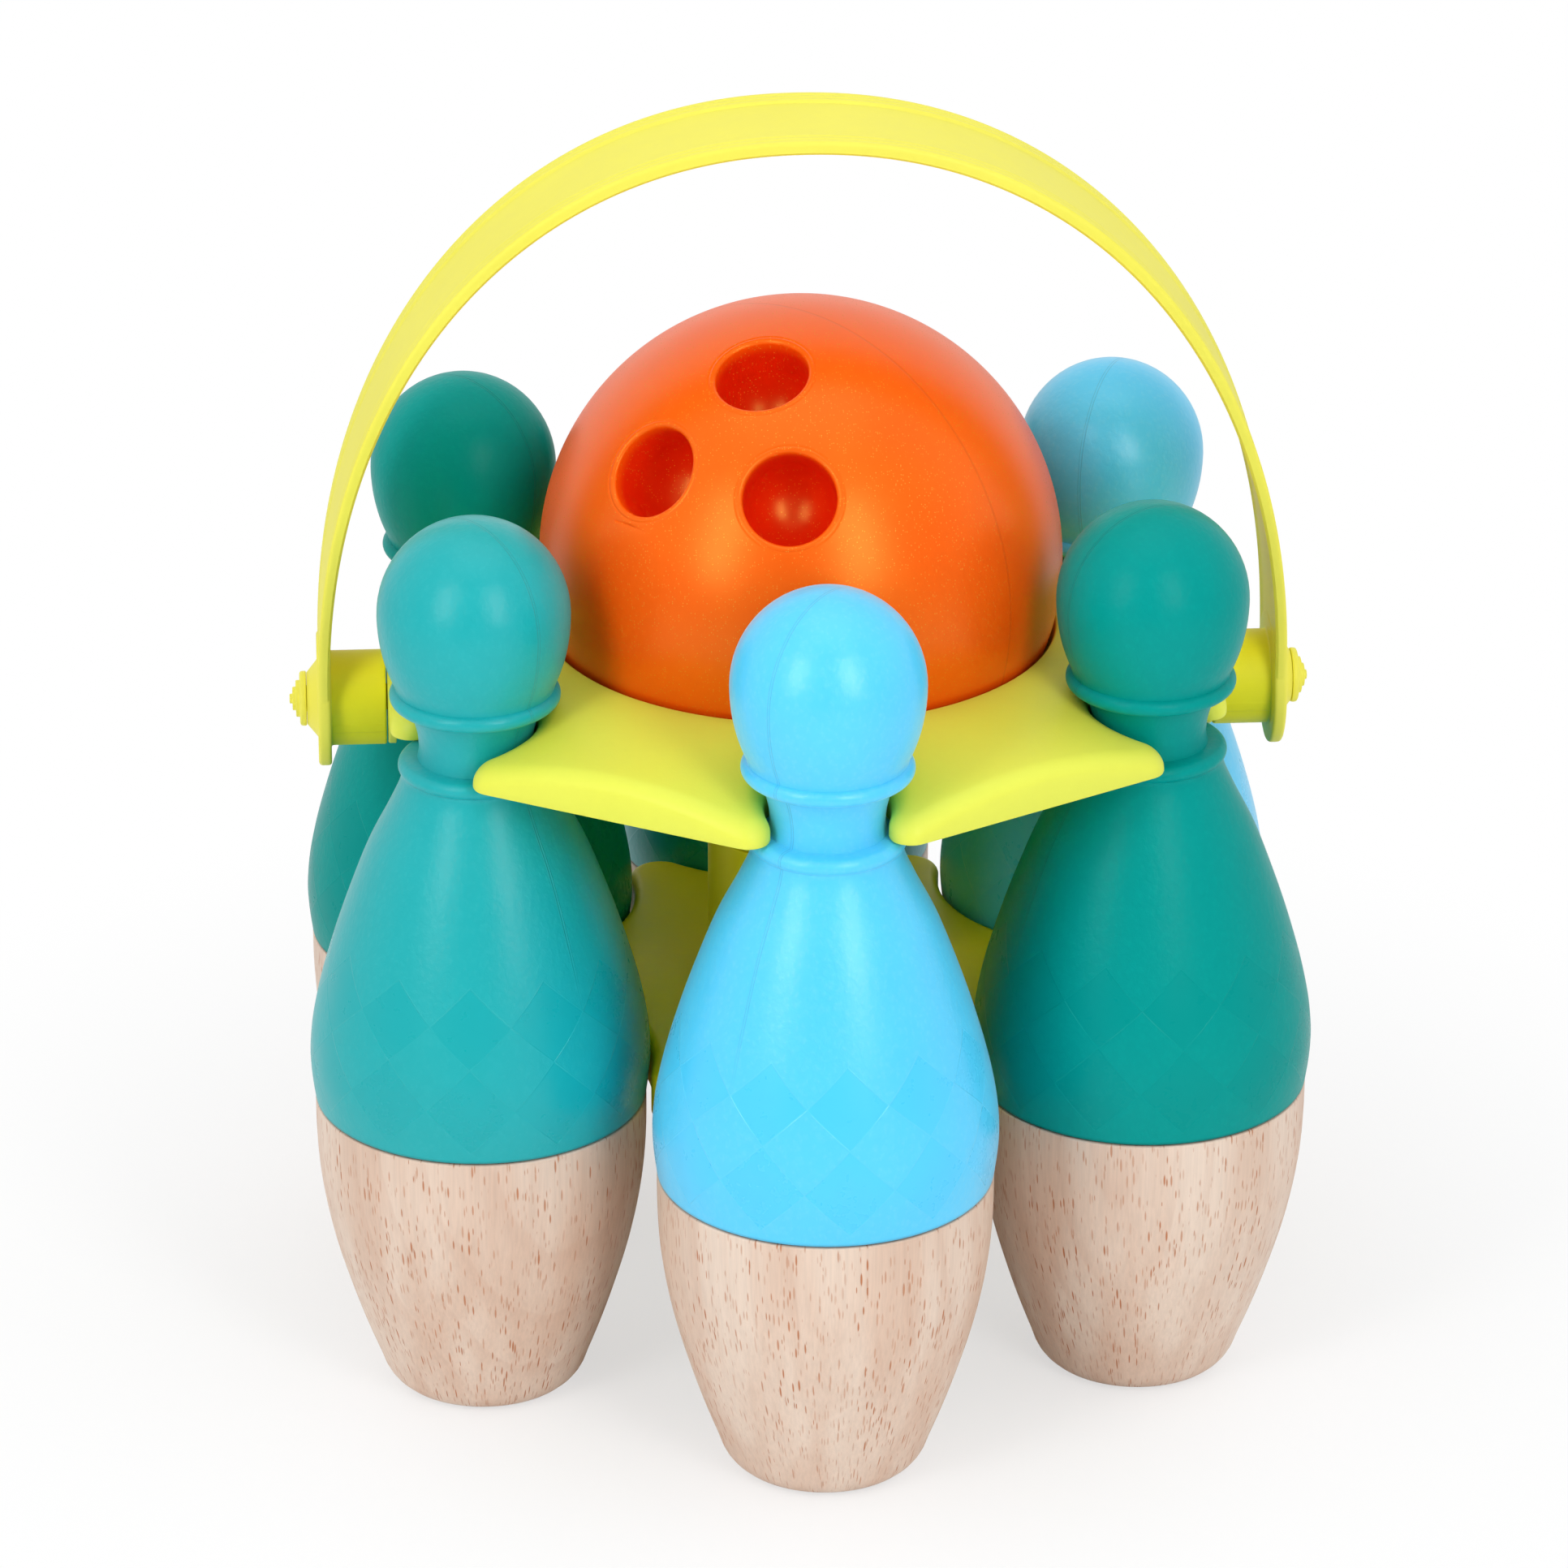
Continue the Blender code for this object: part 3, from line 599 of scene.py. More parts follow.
@dataclass(frozen=True)
class Workshop:
    """The geometry trees that the sub-assemblies share."""

    turned: NodeTree
    circle: NodeTree
    arch: NodeTree

    def turn(
        self, outline: Sequence[Point], place: Sequence[float], steps: int = 96, side: Optional[Side] = None
    ) -> Mesh:
        """Turns an outline about Z, or about the pivot line out to one side.

        Args:
            outline: (radius, height) points.
            place: where the outline's origin goes.
            steps: steps round the axis.
            side: the end of the pivot line, or None for a piece that stands upright.

        Returns:
            The turned mesh.
        """
        tilt = (0.0, radians(90) * side.value, 0.0) if side else ORIGIN
        points = [(radius, 0.0, height) for radius, height in outline]
        return run_tree(self.turned, points, {"Steps": steps, "Turn": tilt, "Place": tuple(place)})


# Shader groups


class Effects:
    """Shader node groups that several finishes use."""

    def __init__(self) -> None:
        """Builds each group once."""
        self.place = self.round_place()
        self.grain = self.leather_grain()
        self.seam = self.mould_seam()
        self.wear = self.handling()
        self.wood = self.turned_wood()

    @staticmethod
    def round_place() -> NodeTree:
        """How many turns round the Z axis a point lies, and its height.

        Returns:
            The node group.
        """
        graph, given = new_tree("round place", "ShaderNodeTree", {"Place": ORIGIN}, ["Turns", "Height"])
        x, y, z = graph.parts(given["Place"])
        return graph.end(graph.math("ARCTAN2", y, x) / (2 * pi), z)

    @staticmethod
    def leather_grain() -> NodeTree:
        """Fine pebbled mould texture.

        Returns:
            The node group.
        """
        inputs = {"Place": ORIGIN, "Size": 0.0009, "Stretch": 1.3}
        graph, given = new_tree("leather grain", "ShaderNodeTree", inputs, ["Height"])
        place, size, stretch = given.values()
        tall = graph.vector("DIVIDE", place, graph.join(size, size, size * stretch))
        warp = graph.add("ShaderNodeTexNoise", {"Vector": tall, "Scale": 0.8, "Detail": 2.0}, "Color")
        bent = graph.vector("ADD", tall, graph.vector("MULTIPLY", warp, (1.2, 1.2, 1.2)))
        pebbles = graph.add("ShaderNodeTexVoronoi", {"Vector": bent, "Scale": 1.0}, feature="SMOOTH_F1")
        fine = graph.add("ShaderNodeTexNoise", {"Vector": bent, "Scale": 2.6, "Detail": 1.0})
        return graph.end(pebbles * -0.8 + fine * 0.35 + 0.6)

    @staticmethod
    def mould_seam() -> NodeTree:
        """Where the halves of a mould met: two fine lines in an upright plane through the axis.

        Returns:
            The node group.
        """
        inputs = {"Place": ORIGIN, "Turn": 0.0, "Width": 0.0008}
        graph, given = new_tree("mould seam", "ShaderNodeTree", inputs, ["Lines", "Band"])
        place, turn, width = given.values()
        x, y, _ = graph.parts(place)
        off = abs(x * graph.math("SINE", turn) - y * graph.math("COSINE", turn)) / width
        return graph.end(graph.step(abs(off - 0.5), 0.05, 0.3, 1.0, 0.0), graph.step(off, 0.4, 0.7, 1.0, 0.0))

    @staticmethod
    def handling() -> NodeTree:
        """Uneven gloss and faint scuffs from moulding and handling.

        Returns:
            The node group.
        """
        inputs = {"Place": ORIGIN, "Gloss": 0.4, "Spread": 0.08}
        graph, given = new_tree("handling", "ShaderNodeTree", inputs, ["Roughness", "Tone", "Scuffs"])
        place, gloss, spread = given.values()
        soft = graph.noise(place, 0.03, 3.0, 0.6) - 0.5
        fine = graph.noise(place, 0.0025, 2.0, 0.6) - 0.5
        long = graph.vector("MULTIPLY", place, (1.0, 1.0, 0.12))
        marks = graph.step(graph.noise(long, 0.0011, 3.0, 0.7), 0.66, 0.74)
        marks = marks * graph.step(graph.noise(place, 0.025, 2.0), 0.52, 0.66)
        rough = gloss + spread * (soft * 1.6 + fine) + marks * spread
        tone = 1.0 + (soft + fine * 0.4) * 0.09
        return graph.end(rough, tone, marks)

    @staticmethod
    def turned_wood() -> NodeTree:
        """Pores, growth rings and broad bands of a block of pale wood whose grain runs along Z.

        Returns:
            The node group.
        """
        inputs = {"Place": ORIGIN, "Lean": 0.12, "Ring": 0.0085}
        outputs = ["Pores", "Rings", "Bands", "Fibres"]
        graph, given = new_tree("turned wood", "ShaderNodeTree", inputs, outputs)
        place, lean, ring = given.values()
        x, y, z = graph.parts(place)
        slow = graph.vector("MULTIPLY", place, (1.0, 1.0, 0.14))

        drift = (graph.noise(slow, 0.006, 1.0) - 0.5) * 0.0006
        around = graph.math("ARCTAN2", y, x) * 0.037 + drift + z * 0.02
        cell = graph.cells(graph.join(around / 0.00070, 0.0, z / 0.0048), 1.0)
        odd, even, _ = graph.parts(cell["Color"])
        size = graph.step(odd, 0.0, 1.0, 0.15, 0.46)
        pore = graph.step(1.0 - cell["Distance"] / graph.math("MAXIMUM", size, 0.02), 0.0, 0.45)
        crowd = graph.step(graph.noise(slow, 0.009, 2.0), 0.35, 0.62, 0.45, 1.0)
        pores = pore * (crowd * graph.step(even, 0.0, 0.7, 0.5, 1.0))

        sway = (graph.noise(slow, 0.03, 2.0) - 0.5) * 0.012
        far = x + z * lean + sway + 0.055
        cycle = graph.math("FRACT", graph.math("SQRT", far * far + y * y) / ring)
        line = graph.step(cycle, 0.55, 0.93) * graph.step(cycle, 0.94, 1.0, 1.0, 0.0)
        line = line * graph.step(graph.noise(slow, 0.02, 1.0), 0.35, 0.6, 0.15, 1.0)
        broad = graph.vector("MULTIPLY", place, (1.0, 1.0, 0.07))
        bands = graph.step(graph.noise(broad, 0.011, 2.0, 0.55), 0.3, 0.7)
        fibres = graph.noise(graph.vector("MULTIPLY", place, (1.0, 1.0, 0.03)), 0.0007, 3.0, 0.7)
        return graph.end(pores, line, bands, fibres)


# Finishes


class Paint(Graph):
    """The node tree of a new material, with its main shader and coordinates of its own."""

    def __init__(
        self, name: str, colour: Colour, centre: Sequence[float] = ORIGIN, turn: float = 0.0
    ) -> None:
        """Makes the material.

        Args:
            name: the material's name.
            colour: its colour in a plain view.
            centre: where its coordinates start, in the object's own.
            turn: how far they are turned about Z.
        """
        self.material = bpy.data.materials.new(name)
        self.material.use_nodes = True
        self.material.diffuse_color = (*colour, 1)
        super().__init__(self.material.node_tree)
        self.shader = self.tree.nodes["Principled BSDF"]
        spot = self.add("ShaderNodeTexCoord", output="Object")
        start = tuple(-value for value in centre)
        moved = self.add("ShaderNodeMapping", {"Vector": spot, "Location": start})
        self.place = self.add("ShaderNodeMapping", {"Vector": moved, "Rotation": (0, 0, -turn)})

    def use(self, group: NodeTree, **values: Value) -> dict[str, Wire]:
        """Adds a shader group at the material's place and returns its outputs by name."""
        inputs = {"Place": self.place, **values}
        return self.outputs(self.node("ShaderNodeGroup", inputs, node_tree=group))

    def relief(self, height: Value, depth: float) -> Wire:
        """The normal of a surface with a height, in units of depth."""
        return self.add("ShaderNodeBump", {"Height": height, "Strength": 1.0, "Distance": depth})

    def done(self, inputs: Inputs) -> Material:
        """Sets the main shader's inputs and returns the material."""
        self.feed(self.shader, inputs)
        return self.material


@dataclass(frozen=True)
class ShellFinish:
    """Blow-moulded plastic of a pin: fine grain, a lattice of smooth diamonds and a mould seam.

    The centre is the pin's axis and the seam is the angle of its mould seam about it. The lattice
    is the heights of its lower edge, of the line between its two rows and of its upper edge. The
    rim is the heights between which the painted shade at the plastic's lower edge ends, and the
    fade those between which the seam begins.
    """

    name: str
    colour: Colour
    # Paler colour: the grain's tone, painted sheen, and painted highlights on the diamonds' edges.
    pale: Colour
    # Deeper colour: painted shade at the lower edge, and the seam lines.
    deep: Colour
    centre: Sequence[float]
    seam: float
    shine: float
    haze: float
    diamonds: int = 12
    lattice: Sequence[float] = (0.0783, 0.0993, 0.1178)
    rim: Point = (0.0753, 0.0764)
    fade: Point = (0.104, 0.128)
    seam_width: float = 0.0006
    grain: float = 0.0013
    ripple: float = 0.004
    depth: float = 0.00007

    def make(self, effects: Effects) -> Material:
        """Builds the material.

        Args:
            effects: the shader groups that finishes share.

        Returns:
            The material.
        """
        paint = Paint(self.name, self.colour, self.centre)
        turns, height = paint.use(effects.place).values()
        low, middle, high = self.lattice
        along = (turns - self.seam / (2 * pi)) * self.diamonds
        lower = (paint.math("MINIMUM", height, middle) - low) / (middle - low)
        up = lower + paint.math("MAXIMUM", height - middle, 0.0) / (high - middle)
        near = [abs(value - paint.math("ROUND", value)) for value in (along, up)]
        within = near[0] + near[1] - 0.5
        rows = paint.math("LESS_THAN", abs(up - 1.0), 1.0)
        smooth = paint.step(within, -0.008, 0.008) * rows
        edge = paint.step(abs(within), 0.004, 0.018, 1.0, 0.0) * rows

        seam = paint.use(effects.seam, Turn=self.seam, Width=self.seam_width)
        begun = paint.step(height, *self.fade) * (1.0 - smooth)
        lines = seam["Lines"] * begun
        fine = paint.use(effects.grain, Size=self.grain)["Height"]
        rough = (1.0 - smooth * 0.85) * (1.0 - seam["Band"] * begun * 0.7)
        grain = fine * rough + paint.noise(paint.place, self.ripple) * 0.5
        relief = grain + lines * 0.6 + edge * 0.3 + smooth * -0.25

        worn = paint.use(effects.wear, Gloss=0.34, Spread=0.07)
        # Paler with the grain: partly the grain's own tone, partly painted sheen of light that the grain
        # scatters.
        colour = paint.mix(paint.step(fine, 0.3, 1.0, 0.15, 0.6), self.colour, self.pale)
        colour = paint.mix(smooth, colour, self.colour)
        # Painted highlight: a paler line along the steps at the diamonds' edges.
        colour = paint.mix(edge * 0.15, colour, self.pale)
        colour = paint.mix(lines * 0.3, colour, self.deep)
        # Painted shade: darker towards the plastic's lower edge, where it meets the wood.
        colour = paint.mix(paint.step(height, *self.rim, 0.6, 0.0), colour, self.deep)
        return paint.done({
            "Base Color": paint.scaled(colour, worn["Tone"]),
            "Roughness": worn["Roughness"] + smooth * -0.06,
            "Normal": paint.relief(relief, self.depth),
            "Specular IOR Level": self.shine,
            "Sheen Weight": self.haze,
            "Sheen Roughness": 0.4,
        })


@dataclass(frozen=True)
class WoodFinish:
    """Pale turned wood with reddish pores, sealed satin.

    The rim is the heights between which painted shade darkens it, right under the plastic.
    """

    name: str
    centre: Sequence[float]
    turn: float
    lean: float
    pale: Colour = (0.80, 0.645, 0.53)
    pink: Colour = (0.67, 0.45, 0.33)
    ring: Colour = (0.60, 0.36, 0.25)
    pore: Colour = (0.50, 0.17, 0.06)
    shade: Colour = (0.30, 0.24, 0.20)
    rim: Point = (0.0746, 0.0750)
    depth: float = 0.00006

    def make(self, effects: Effects) -> Material:
        """Builds the material.

        Args:
            effects: the shader groups that finishes share.

        Returns:
            The material.
        """
        paint = Paint(self.name, self.pale, self.centre, self.turn)
        wood = paint.use(effects.wood, Lean=self.lean)
        pores, fibres = wood["Pores"], wood["Fibres"]
        colour = paint.mix(wood["Bands"] * 0.7, self.pale, self.pink)
        colour = paint.mix(wood["Rings"] * 0.2, colour, self.ring)
        colour = paint.mix(pores * 0.95, colour, self.pore)
        colour = paint.scaled(colour, paint.step(fibres, 0.3, 0.7, 0.95, 1.04))
        height = paint.use(effects.place)["Height"]
        # Painted shade on the wood right under the plastic's edge.
        colour = paint.mix(paint.step(height, *self.rim, 0.0, 0.45), colour, self.shade)
        worn = paint.use(effects.wear, Gloss=0.46, Spread=0.06)
        return paint.done({
            "Base Color": paint.scaled(colour, worn["Tone"]),
            "Roughness": worn["Roughness"] + pores * 0.25,
            "Normal": paint.relief(fibres * 0.25 - pores, self.depth),
        })


@dataclass(frozen=True)
class LimeFinish:
    """Lime moulded plastic with a fine spark-eroded texture.

    The hub band is a faint raised strip that the mould left on the front of the handle's hubs: its
    lower and upper height, and where it starts and ends along the pivot line. The hubs, which lie
    within that end and under the hub top's heights, are of a deeper yellow than the strip.
    """

    name: str
    colour: Colour
    deep: Colour
    gloss: float = 0.45
    hub_band: Sequence[float] = ()
    hub_colour: Colour = (0.98, 0.90, 0.006)
    hub_top: Point = (0.17, 0.18)
    speck: Colour = (0.2, 0.18, 0.05)
    grain: float = 0.00055
    depth: float = 0.00002

    def make(self, effects: Effects) -> Material:
        """Builds the material.

        Args:
            effects: the shader groups that finishes share.

        Returns:
            The material.
        """
        paint = Paint(self.name, self.colour)
        place = paint.place
        fine = paint.use(effects.grain, Size=self.grain, Stretch=1.0)["Height"]
        worn = paint.use(effects.wear, Gloss=self.gloss, Spread=0.09)
        flow = paint.step(paint.noise(place, 0.045), 0.35, 0.75, 0.0, 0.25)
        colour = paint.mix(flow, self.colour, self.deep)
        specks = paint.step(paint.cells(place, 0.0035)["Distance"], 0.0, 0.035, 1.0, 0.0)
        rare = paint.step(paint.noise(place, 0.012, 1.0), 0.62, 0.7)
        colour = paint.mix(specks * rare * 0.5, colour, self.speck)
        relief = fine + worn["Scuffs"] * -0.6
        if self.hub_band:
            x, y, z = paint.parts(place)
            low, high, start, end = self.hub_band
            out = abs(x)
            within = paint.math("LESS_THAN", out, end)
            band = paint.step(z, low, low + 0.0003) * paint.step(z, high - 0.0003, high, 1.0, 0.0)
            band = band * (paint.math("GREATER_THAN", out, start) * within) * paint.math("LESS_THAN", y, 0.0)
            relief = relief + band * 4.0
            colour = paint.mix(within * paint.step(z, *self.hub_top, 0.85, 0.0), colour, self.hub_colour)
        return paint.done({
            "Base Color": paint.scaled(colour, worn["Tone"]),
            "Roughness": worn["Roughness"],
            "Normal": paint.relief(relief, self.depth),
            "Specular IOR Level": 0.3,
        })


@dataclass(frozen=True)
class PearlFinish:
    """Orange pearl plastic with fine glitter, mould lines and painted shade deepening the finger holes."""

    name: str
    centre: Sequence[float]
    radius: float
    colour: Colour = (0.97, 0.088, 0.0005)
    warm: Colour = (1.0, 0.125, 0.001)
    # Painted shade: the deeper red of the finger holes.
    deep: Colour = (0.80, 0.010, 0.0005)
    gold: Colour = (1.0, 0.45, 0.06)
    line: Colour = (0.45, 0.03, 0.0)
    tint: Colour = (1.0, 0.70, 0.14)
    seam: float = -42.0
    seam_width: float = 0.0006
    flake: float = 0.00045
    grain: float = 0.0005
    depth: float = 0.000016

    def make(self, effects: Effects) -> Material:
        """Builds the material.

        Args:
            effects: the shader groups that finishes share.

        Returns:
            The material.
        """
        paint = Paint(self.name, self.colour, self.centre)
        place = paint.place
        length = paint.vector("LENGTH", place, output="Value")
        # Painted shade: the ball turns a deeper red inside its finger holes.
        sunk = paint.step(length, self.radius - 0.0045, self.radius - 0.0006, 1.0, 0.0)
        cell = paint.cells(place, self.flake)
        chance, tilt, _ = paint.parts(cell["Color"])
        flake = paint.step(chance, 0.80, 0.85) * paint.step(cell["Distance"], 0.2, 0.38, 1.0, 0.0)
        cloud = paint.step(paint.noise(place, 0.02, 3.0), 0.3, 0.7, 0.2, 0.5)
        colour = paint.mix(cloud, self.colour, self.warm)
        colour = paint.mix(sunk * 0.9, colour, self.deep)
        colour = paint.mix(flake * 0.6, colour, self.gold)
        band = paint.use(effects.seam, Turn=radians(self.seam), Width=self.seam_width)["Band"]
        mark = band * paint.step(length, self.radius - 0.0004, self.radius - 0.0001)
        colour = paint.mix(mark * 0.2, colour, self.line)
        worn = paint.use(effects.wear, Gloss=0.34, Spread=0.04)
        fine = paint.use(effects.grain, Size=self.grain, Stretch=1.0)["Height"]
        relief = fine * 0.35 + flake * tilt * 0.6 - mark * 1.2
        return paint.done({
            "Base Color": paint.scaled(colour, worn["Tone"]),
            "Roughness": worn["Roughness"] - flake * 0.1,
            "Normal": paint.relief(relief, self.depth),
            "IOR": 1.6,
            "Specular IOR Level": 0.8,
            "Specular Tint": (*self.tint, 1),
        })


@dataclass(frozen=True)
class SteelFinish:
    """Zinc plated screws."""

    name: str = "zinc plated steel"
    colour: Colour = (0.62, 0.62, 0.60)
    bright: Colour = (0.75, 0.74, 0.68)
    spangle: float = 0.0012
    depth: float = 0.00002

    def make(self, effects: Effects) -> Material:
        """Builds the material.

        Args:
            effects: the shader groups that finishes share.

        Returns:
            The material.
        """
        paint = Paint(self.name, self.colour)
        worn = paint.use(effects.wear, Gloss=0.32, Spread=0.12)
        spangles = paint.noise(paint.place, self.spangle)
        return paint.done({
            "Base Color": paint.scaled(paint.mix(spangles, self.colour, self.bright), worn["Tone"]),
            "Roughness": worn["Roughness"],
            "Normal": paint.relief(spangles, self.depth),
            "Metallic": 1.0,
        })


# Sub-assemblies


@dataclass(frozen=True)
class PinLook:
    """What sets one pin apart: its plastic, and how its moulding and wood are turned.

    Angles are in degrees, about the pin's axis.
    """

    slot: Slot
    colour: Colour
    pale: Colour
    deep: Colour
    shine: float
    haze: float
    seam: float
    wood_turn: float
    wood_lean: float


@dataclass(frozen=True)
class PinSet:
    """Six pins, each a plastic body on the spigot of a turned wooden base."""

    looks: Sequence[PinLook]
    circle: float = PIN_CIRCLE
    gap: float = 0.0003
    split: float = 0.0750
    wall: float = 0.0020
    spigot: Point = (0.0367, 0.0860)
    bore: float = 0.0370
    neck_bore: float = 0.0112
    shoulder: float = 0.0009
    edge: Point = (0.0380, 0.0390)
    edge_round: float = 0.0006
    bead: float = 0.0020
    lower_bead: Point = (0.0161, 0.1597)
    upper_bead: Point = (0.0178, 0.1773)
    head: Point = (0.0223, 0.1973)
    jaw: float = 0.03098
    top: float = 0.2200
    foot: float = 0.0170
    wood_line: Sequence[Point] = (
        (0.0155, 0.0), (0.0170, 0.0), (0.0196, 0.00035), (0.0214, 0.0012), (0.0235, 0.0035),
        (0.0253, 0.0080), (0.0283, 0.0160), (0.0316, 0.0260), (0.0355, 0.0400), (0.03825, 0.0560),
        (0.0390, 0.0700), (0.0390, 0.0735),
    )
    body_line: Sequence[Point] = (
        (0.0391, 0.0762), (0.0396, 0.0800), (0.0400, 0.0860), (0.0395, 0.0930), (0.03825, 0.1000),
        (0.0345, 0.1140), (0.0298, 0.1280), (0.0251, 0.1400), (0.0201, 0.1500), (0.0176, 0.1558),
        (0.0171, 0.1578),
    )
    neck_line: Sequence[Point] = (
        (0.0136, 0.1617), (0.0132, 0.1636), (0.0132, 0.1655), (0.0134, 0.1676), (0.0140, 0.1702),
        (0.0150, 0.1732), (0.0158, 0.1752),
    )

    def centre(self, index: int) -> tuple[float, float, float]:
        """Where pin number index, from 0, stands."""
        turn = pin_turn(index)
        return self.circle * cos(turn), self.circle * sin(turn), 0.0

    def wood_outline(self) -> list[Point]:
        """Outline of the wooden base, from the foot's centre up to the spigot's centre.

        Returns:
            (radius, height) points.
        """
        start = self.wood_line[-1]
        rim = [(*start, 0), (start[0], self.split, self.shoulder), (self.spigot[0], self.split, 0)]
        end = [(self.spigot[0], self.spigot[1], 0.001), (0, self.spigot[1], 0)]
        return [(0, 0)] + smooth_line(self.wood_line, 0.0018)[:-1] + rounded(rim + end)

    def plastic_outline(self) -> list[Point]:
        """Closed outline of the plastic: outside from the rim to the crown, then the inside down.

        Returns:
            (radius, height) points.
        """
        start = self.split + self.gap
        near, far = self.edge
        rim = rounded([(near, start, 0), (far, start, self.edge_round), (*self.body_line[0], 0)])
        ring = (self.bead, self.bead)
        outside = rim[:-1] + smooth_line(self.body_line, 0.0016)
        outside += arc(self.lower_bead, ring, -58, 78, 12) + smooth_line(self.neck_line, 0.0009)
        outside += arc(self.upper_bead, ring, -112, 72, 14)
        middle = (0, self.head[1])
        low = -degrees(asin((self.head[1] - outside[-1][1]) / self.jaw))
        outside += arc(middle, (self.head[0], self.jaw), low, 0, 14)[1:]
        outside += arc(middle, (self.head[0], self.top - self.head[1]), 0, 90, 18)[1:-1]
        inner = (self.head[0] - self.wall, self.top - self.head[1] - self.wall)
        inside = arc(middle, inner, 90, 0, 8)[1:]
        inside += [(self.neck_bore, self.upper_bead[1]), (self.neck_bore, self.lower_bead[1])]
        inside += [(radius - self.wall, height) for radius, height in reversed(self.body_line[4:-2])]
        inside += [(self.bore, self.spigot[1] + self.gap), (self.bore, start)]
        return outside + [(0, self.top), (0, self.top - self.wall)] + inside + outside[:1]

    def build(self, shop: Workshop, effects: Effects) -> list[Object]:
        """Builds the six pins.

        Args:
            shop: the geometry trees that pieces share.
            effects: the shader groups that finishes share.

        Returns:
            The pieces.
        """
        plastic, wood = self.plastic_outline(), self.wood_outline()
        pieces = []
        for index, look in enumerate(self.looks):
            number, centre = index + 1, self.centre(index)
            body = f"pin_{number}"
            colours = (look.colour, look.pale, look.deep)
            turned = (centre, radians(look.seam))
            shell = ShellFinish(f"pin {number} {look.slot.value}", *colours, *turned, look.shine, look.haze)
            mesh = shop.turn(plastic, centre)
            nodes = (f"{body}_shell", f"{body}_head")
            pieces.append(add_piece(f"{body}_plastic", [mesh], shell.make(effects), body, look.slot, nodes))
            base = WoodFinish(f"pin {number} wood", centre, radians(look.wood_turn), look.wood_lean)
            mesh, finish, nodes = shop.turn(wood, centre), base.make(effects), [f"{body}_base"]
            pieces.append(add_piece(f"{body}_wood", [mesh], finish, body, Slot.WOOD, nodes, 50.0))
        return pieces


@dataclass(frozen=True)
class Bore:
    """A round hole whose axis goes through the ball's centre, with a rounded lip and bottom.

    A finger hole has a shallow groove round its lip. Its profile is (how many lips out, share of
    the groove's depth).
    """

    azimuth: float
    elevation: float
    radius: float
    lip: float
    depth: float
    groove: float
    profile: Sequence[Point] = ((2.6, 0), (2.2, 0), (1.95, 0), (1.75, 0.7), (1.6, 1), (1.45, 0.7), (1.25, 0))

    def axis(self) -> Vector:
        """The direction of the hole's mouth."""
        turn, rise = radians(self.azimuth), radians(self.elevation)
        return Vector((cos(rise) * cos(turn), cos(rise) * sin(turn), sin(rise)))

    def outline(self, ball: float) -> list[Point]:
        """(distance from the axis, height along it) from the ball's surface to the hole's bottom.

        Args:
            ball: the ball's radius.

        Returns:
            The points.
        """
        edge = self.radius + self.lip
        rise = sqrt((ball - self.lip) ** 2 - edge**2)
        tangent = 90 - degrees(asin(edge / (ball - self.lip)))
        line = []
        if self.groove:
            for share, sink in self.profile:
                across = self.radius + self.lip * share
                line.append((across, sqrt((ball - self.groove * sink) ** 2 - across**2)))
        else:
            across = self.radius + self.lip * 2
            line.append((across, sqrt(ball**2 - across**2)))
        line += arc((edge, rise), (self.lip, self.lip), tangent, 180, 8)
        middle = ball - self.depth + self.radius
        line += [(self.radius, rise + (middle - rise) * share) for share in (0.3, 0.65)]
        return line + arc((0, middle), (self.radius, self.radius), 0, -90, 12)


@dataclass(frozen=True)
class Ball:
    """The orange ball with three finger holes and a vent under it."""

    radius: float = 0.0617
    height: float = 0.1908
    steps: int = 72
    margin: float = 0.0007
    bores: Sequence[Bore] = (
        Bore(-115, 65, 0.0108, 0.0010, 0.0210, 0.00012),
        Bore(-138, 36, 0.0108, 0.0010, 0.0210, 0.00012),
        Bore(-97, 35, 0.0108, 0.0010, 0.0210, 0.00012),
        Bore(0, -90, 0.0015, 0.0003, 0.0040, 0.0),
    )

    def surface(self) -> Mesh:
        """The ball's whole surface, about its centre.

        Returns:
            The mesh.
        """
        bm = bmesh.new()
        bmesh.ops.create_icosphere(bm, subdivisions=7, radius=self.radius)
        for bore in self.bores:
            self.open_bore(bm, bore)
        bmesh.ops.translate(bm, verts=bm.verts, vec=(0, 0, self.height))
        return baked(bm, "ball")

    def open_bore(self, bm: bmesh.types.BMesh, bore: Bore) -> None:
        """Cuts a round patch out of the surface and fits the hole's rings into it.

        Args:
            bm: the ball's surface, which is changed.
            bore: the hole.
        """
        axis = bore.axis()
        outline = bore.outline(self.radius)
        patch = asin((outline[0][0] + self.margin) / self.radius)
        gone = [vert for vert in bm.verts if vert.co.normalized().dot(axis) > cos(patch)]
        bmesh.ops.delete(bm, geom=gone, context="VERTS")
        ragged = [edge for edge in bm.edges if edge.is_boundary]
        spin = axis.to_track_quat("Z", "Y").to_matrix()
        rings = []
        for across, height in outline[:-1]:
            spots = [Vector((x, y, height)) for x, y in on_circle(across, self.steps)]
            rings.append([bm.verts.new(spin @ spot) for spot in spots])
        for first, second in zip(rings, rings[1:]):
            for step in range(self.steps):
                bm.faces.new((first[step - 1], first[step], second[step], second[step - 1]))
        bottom = bm.verts.new(spin @ Vector((0, 0, outline[-1][1])))
        for step in range(self.steps):
            bm.faces.new((rings[-1][step - 1], rings[-1][step], bottom))
        mouth = [bm.edges.get((rings[0][step - 1], rings[0][step])) for step in range(self.steps)]
        bmesh.ops.triangle_fill(bm, use_beauty=True, edges=ragged + mouth, normal=axis)

    def build(self, effects: Effects) -> list[Object]:
        """Builds the ball and returns its piece."""
        finish = PearlFinish("orange pearl plastic", (0, 0, self.height), self.radius).make(effects)
        return [add_piece("bowling_ball", [self.surface()], finish, "ball", Slot.ORANGE, ["ball"], 60.0)]


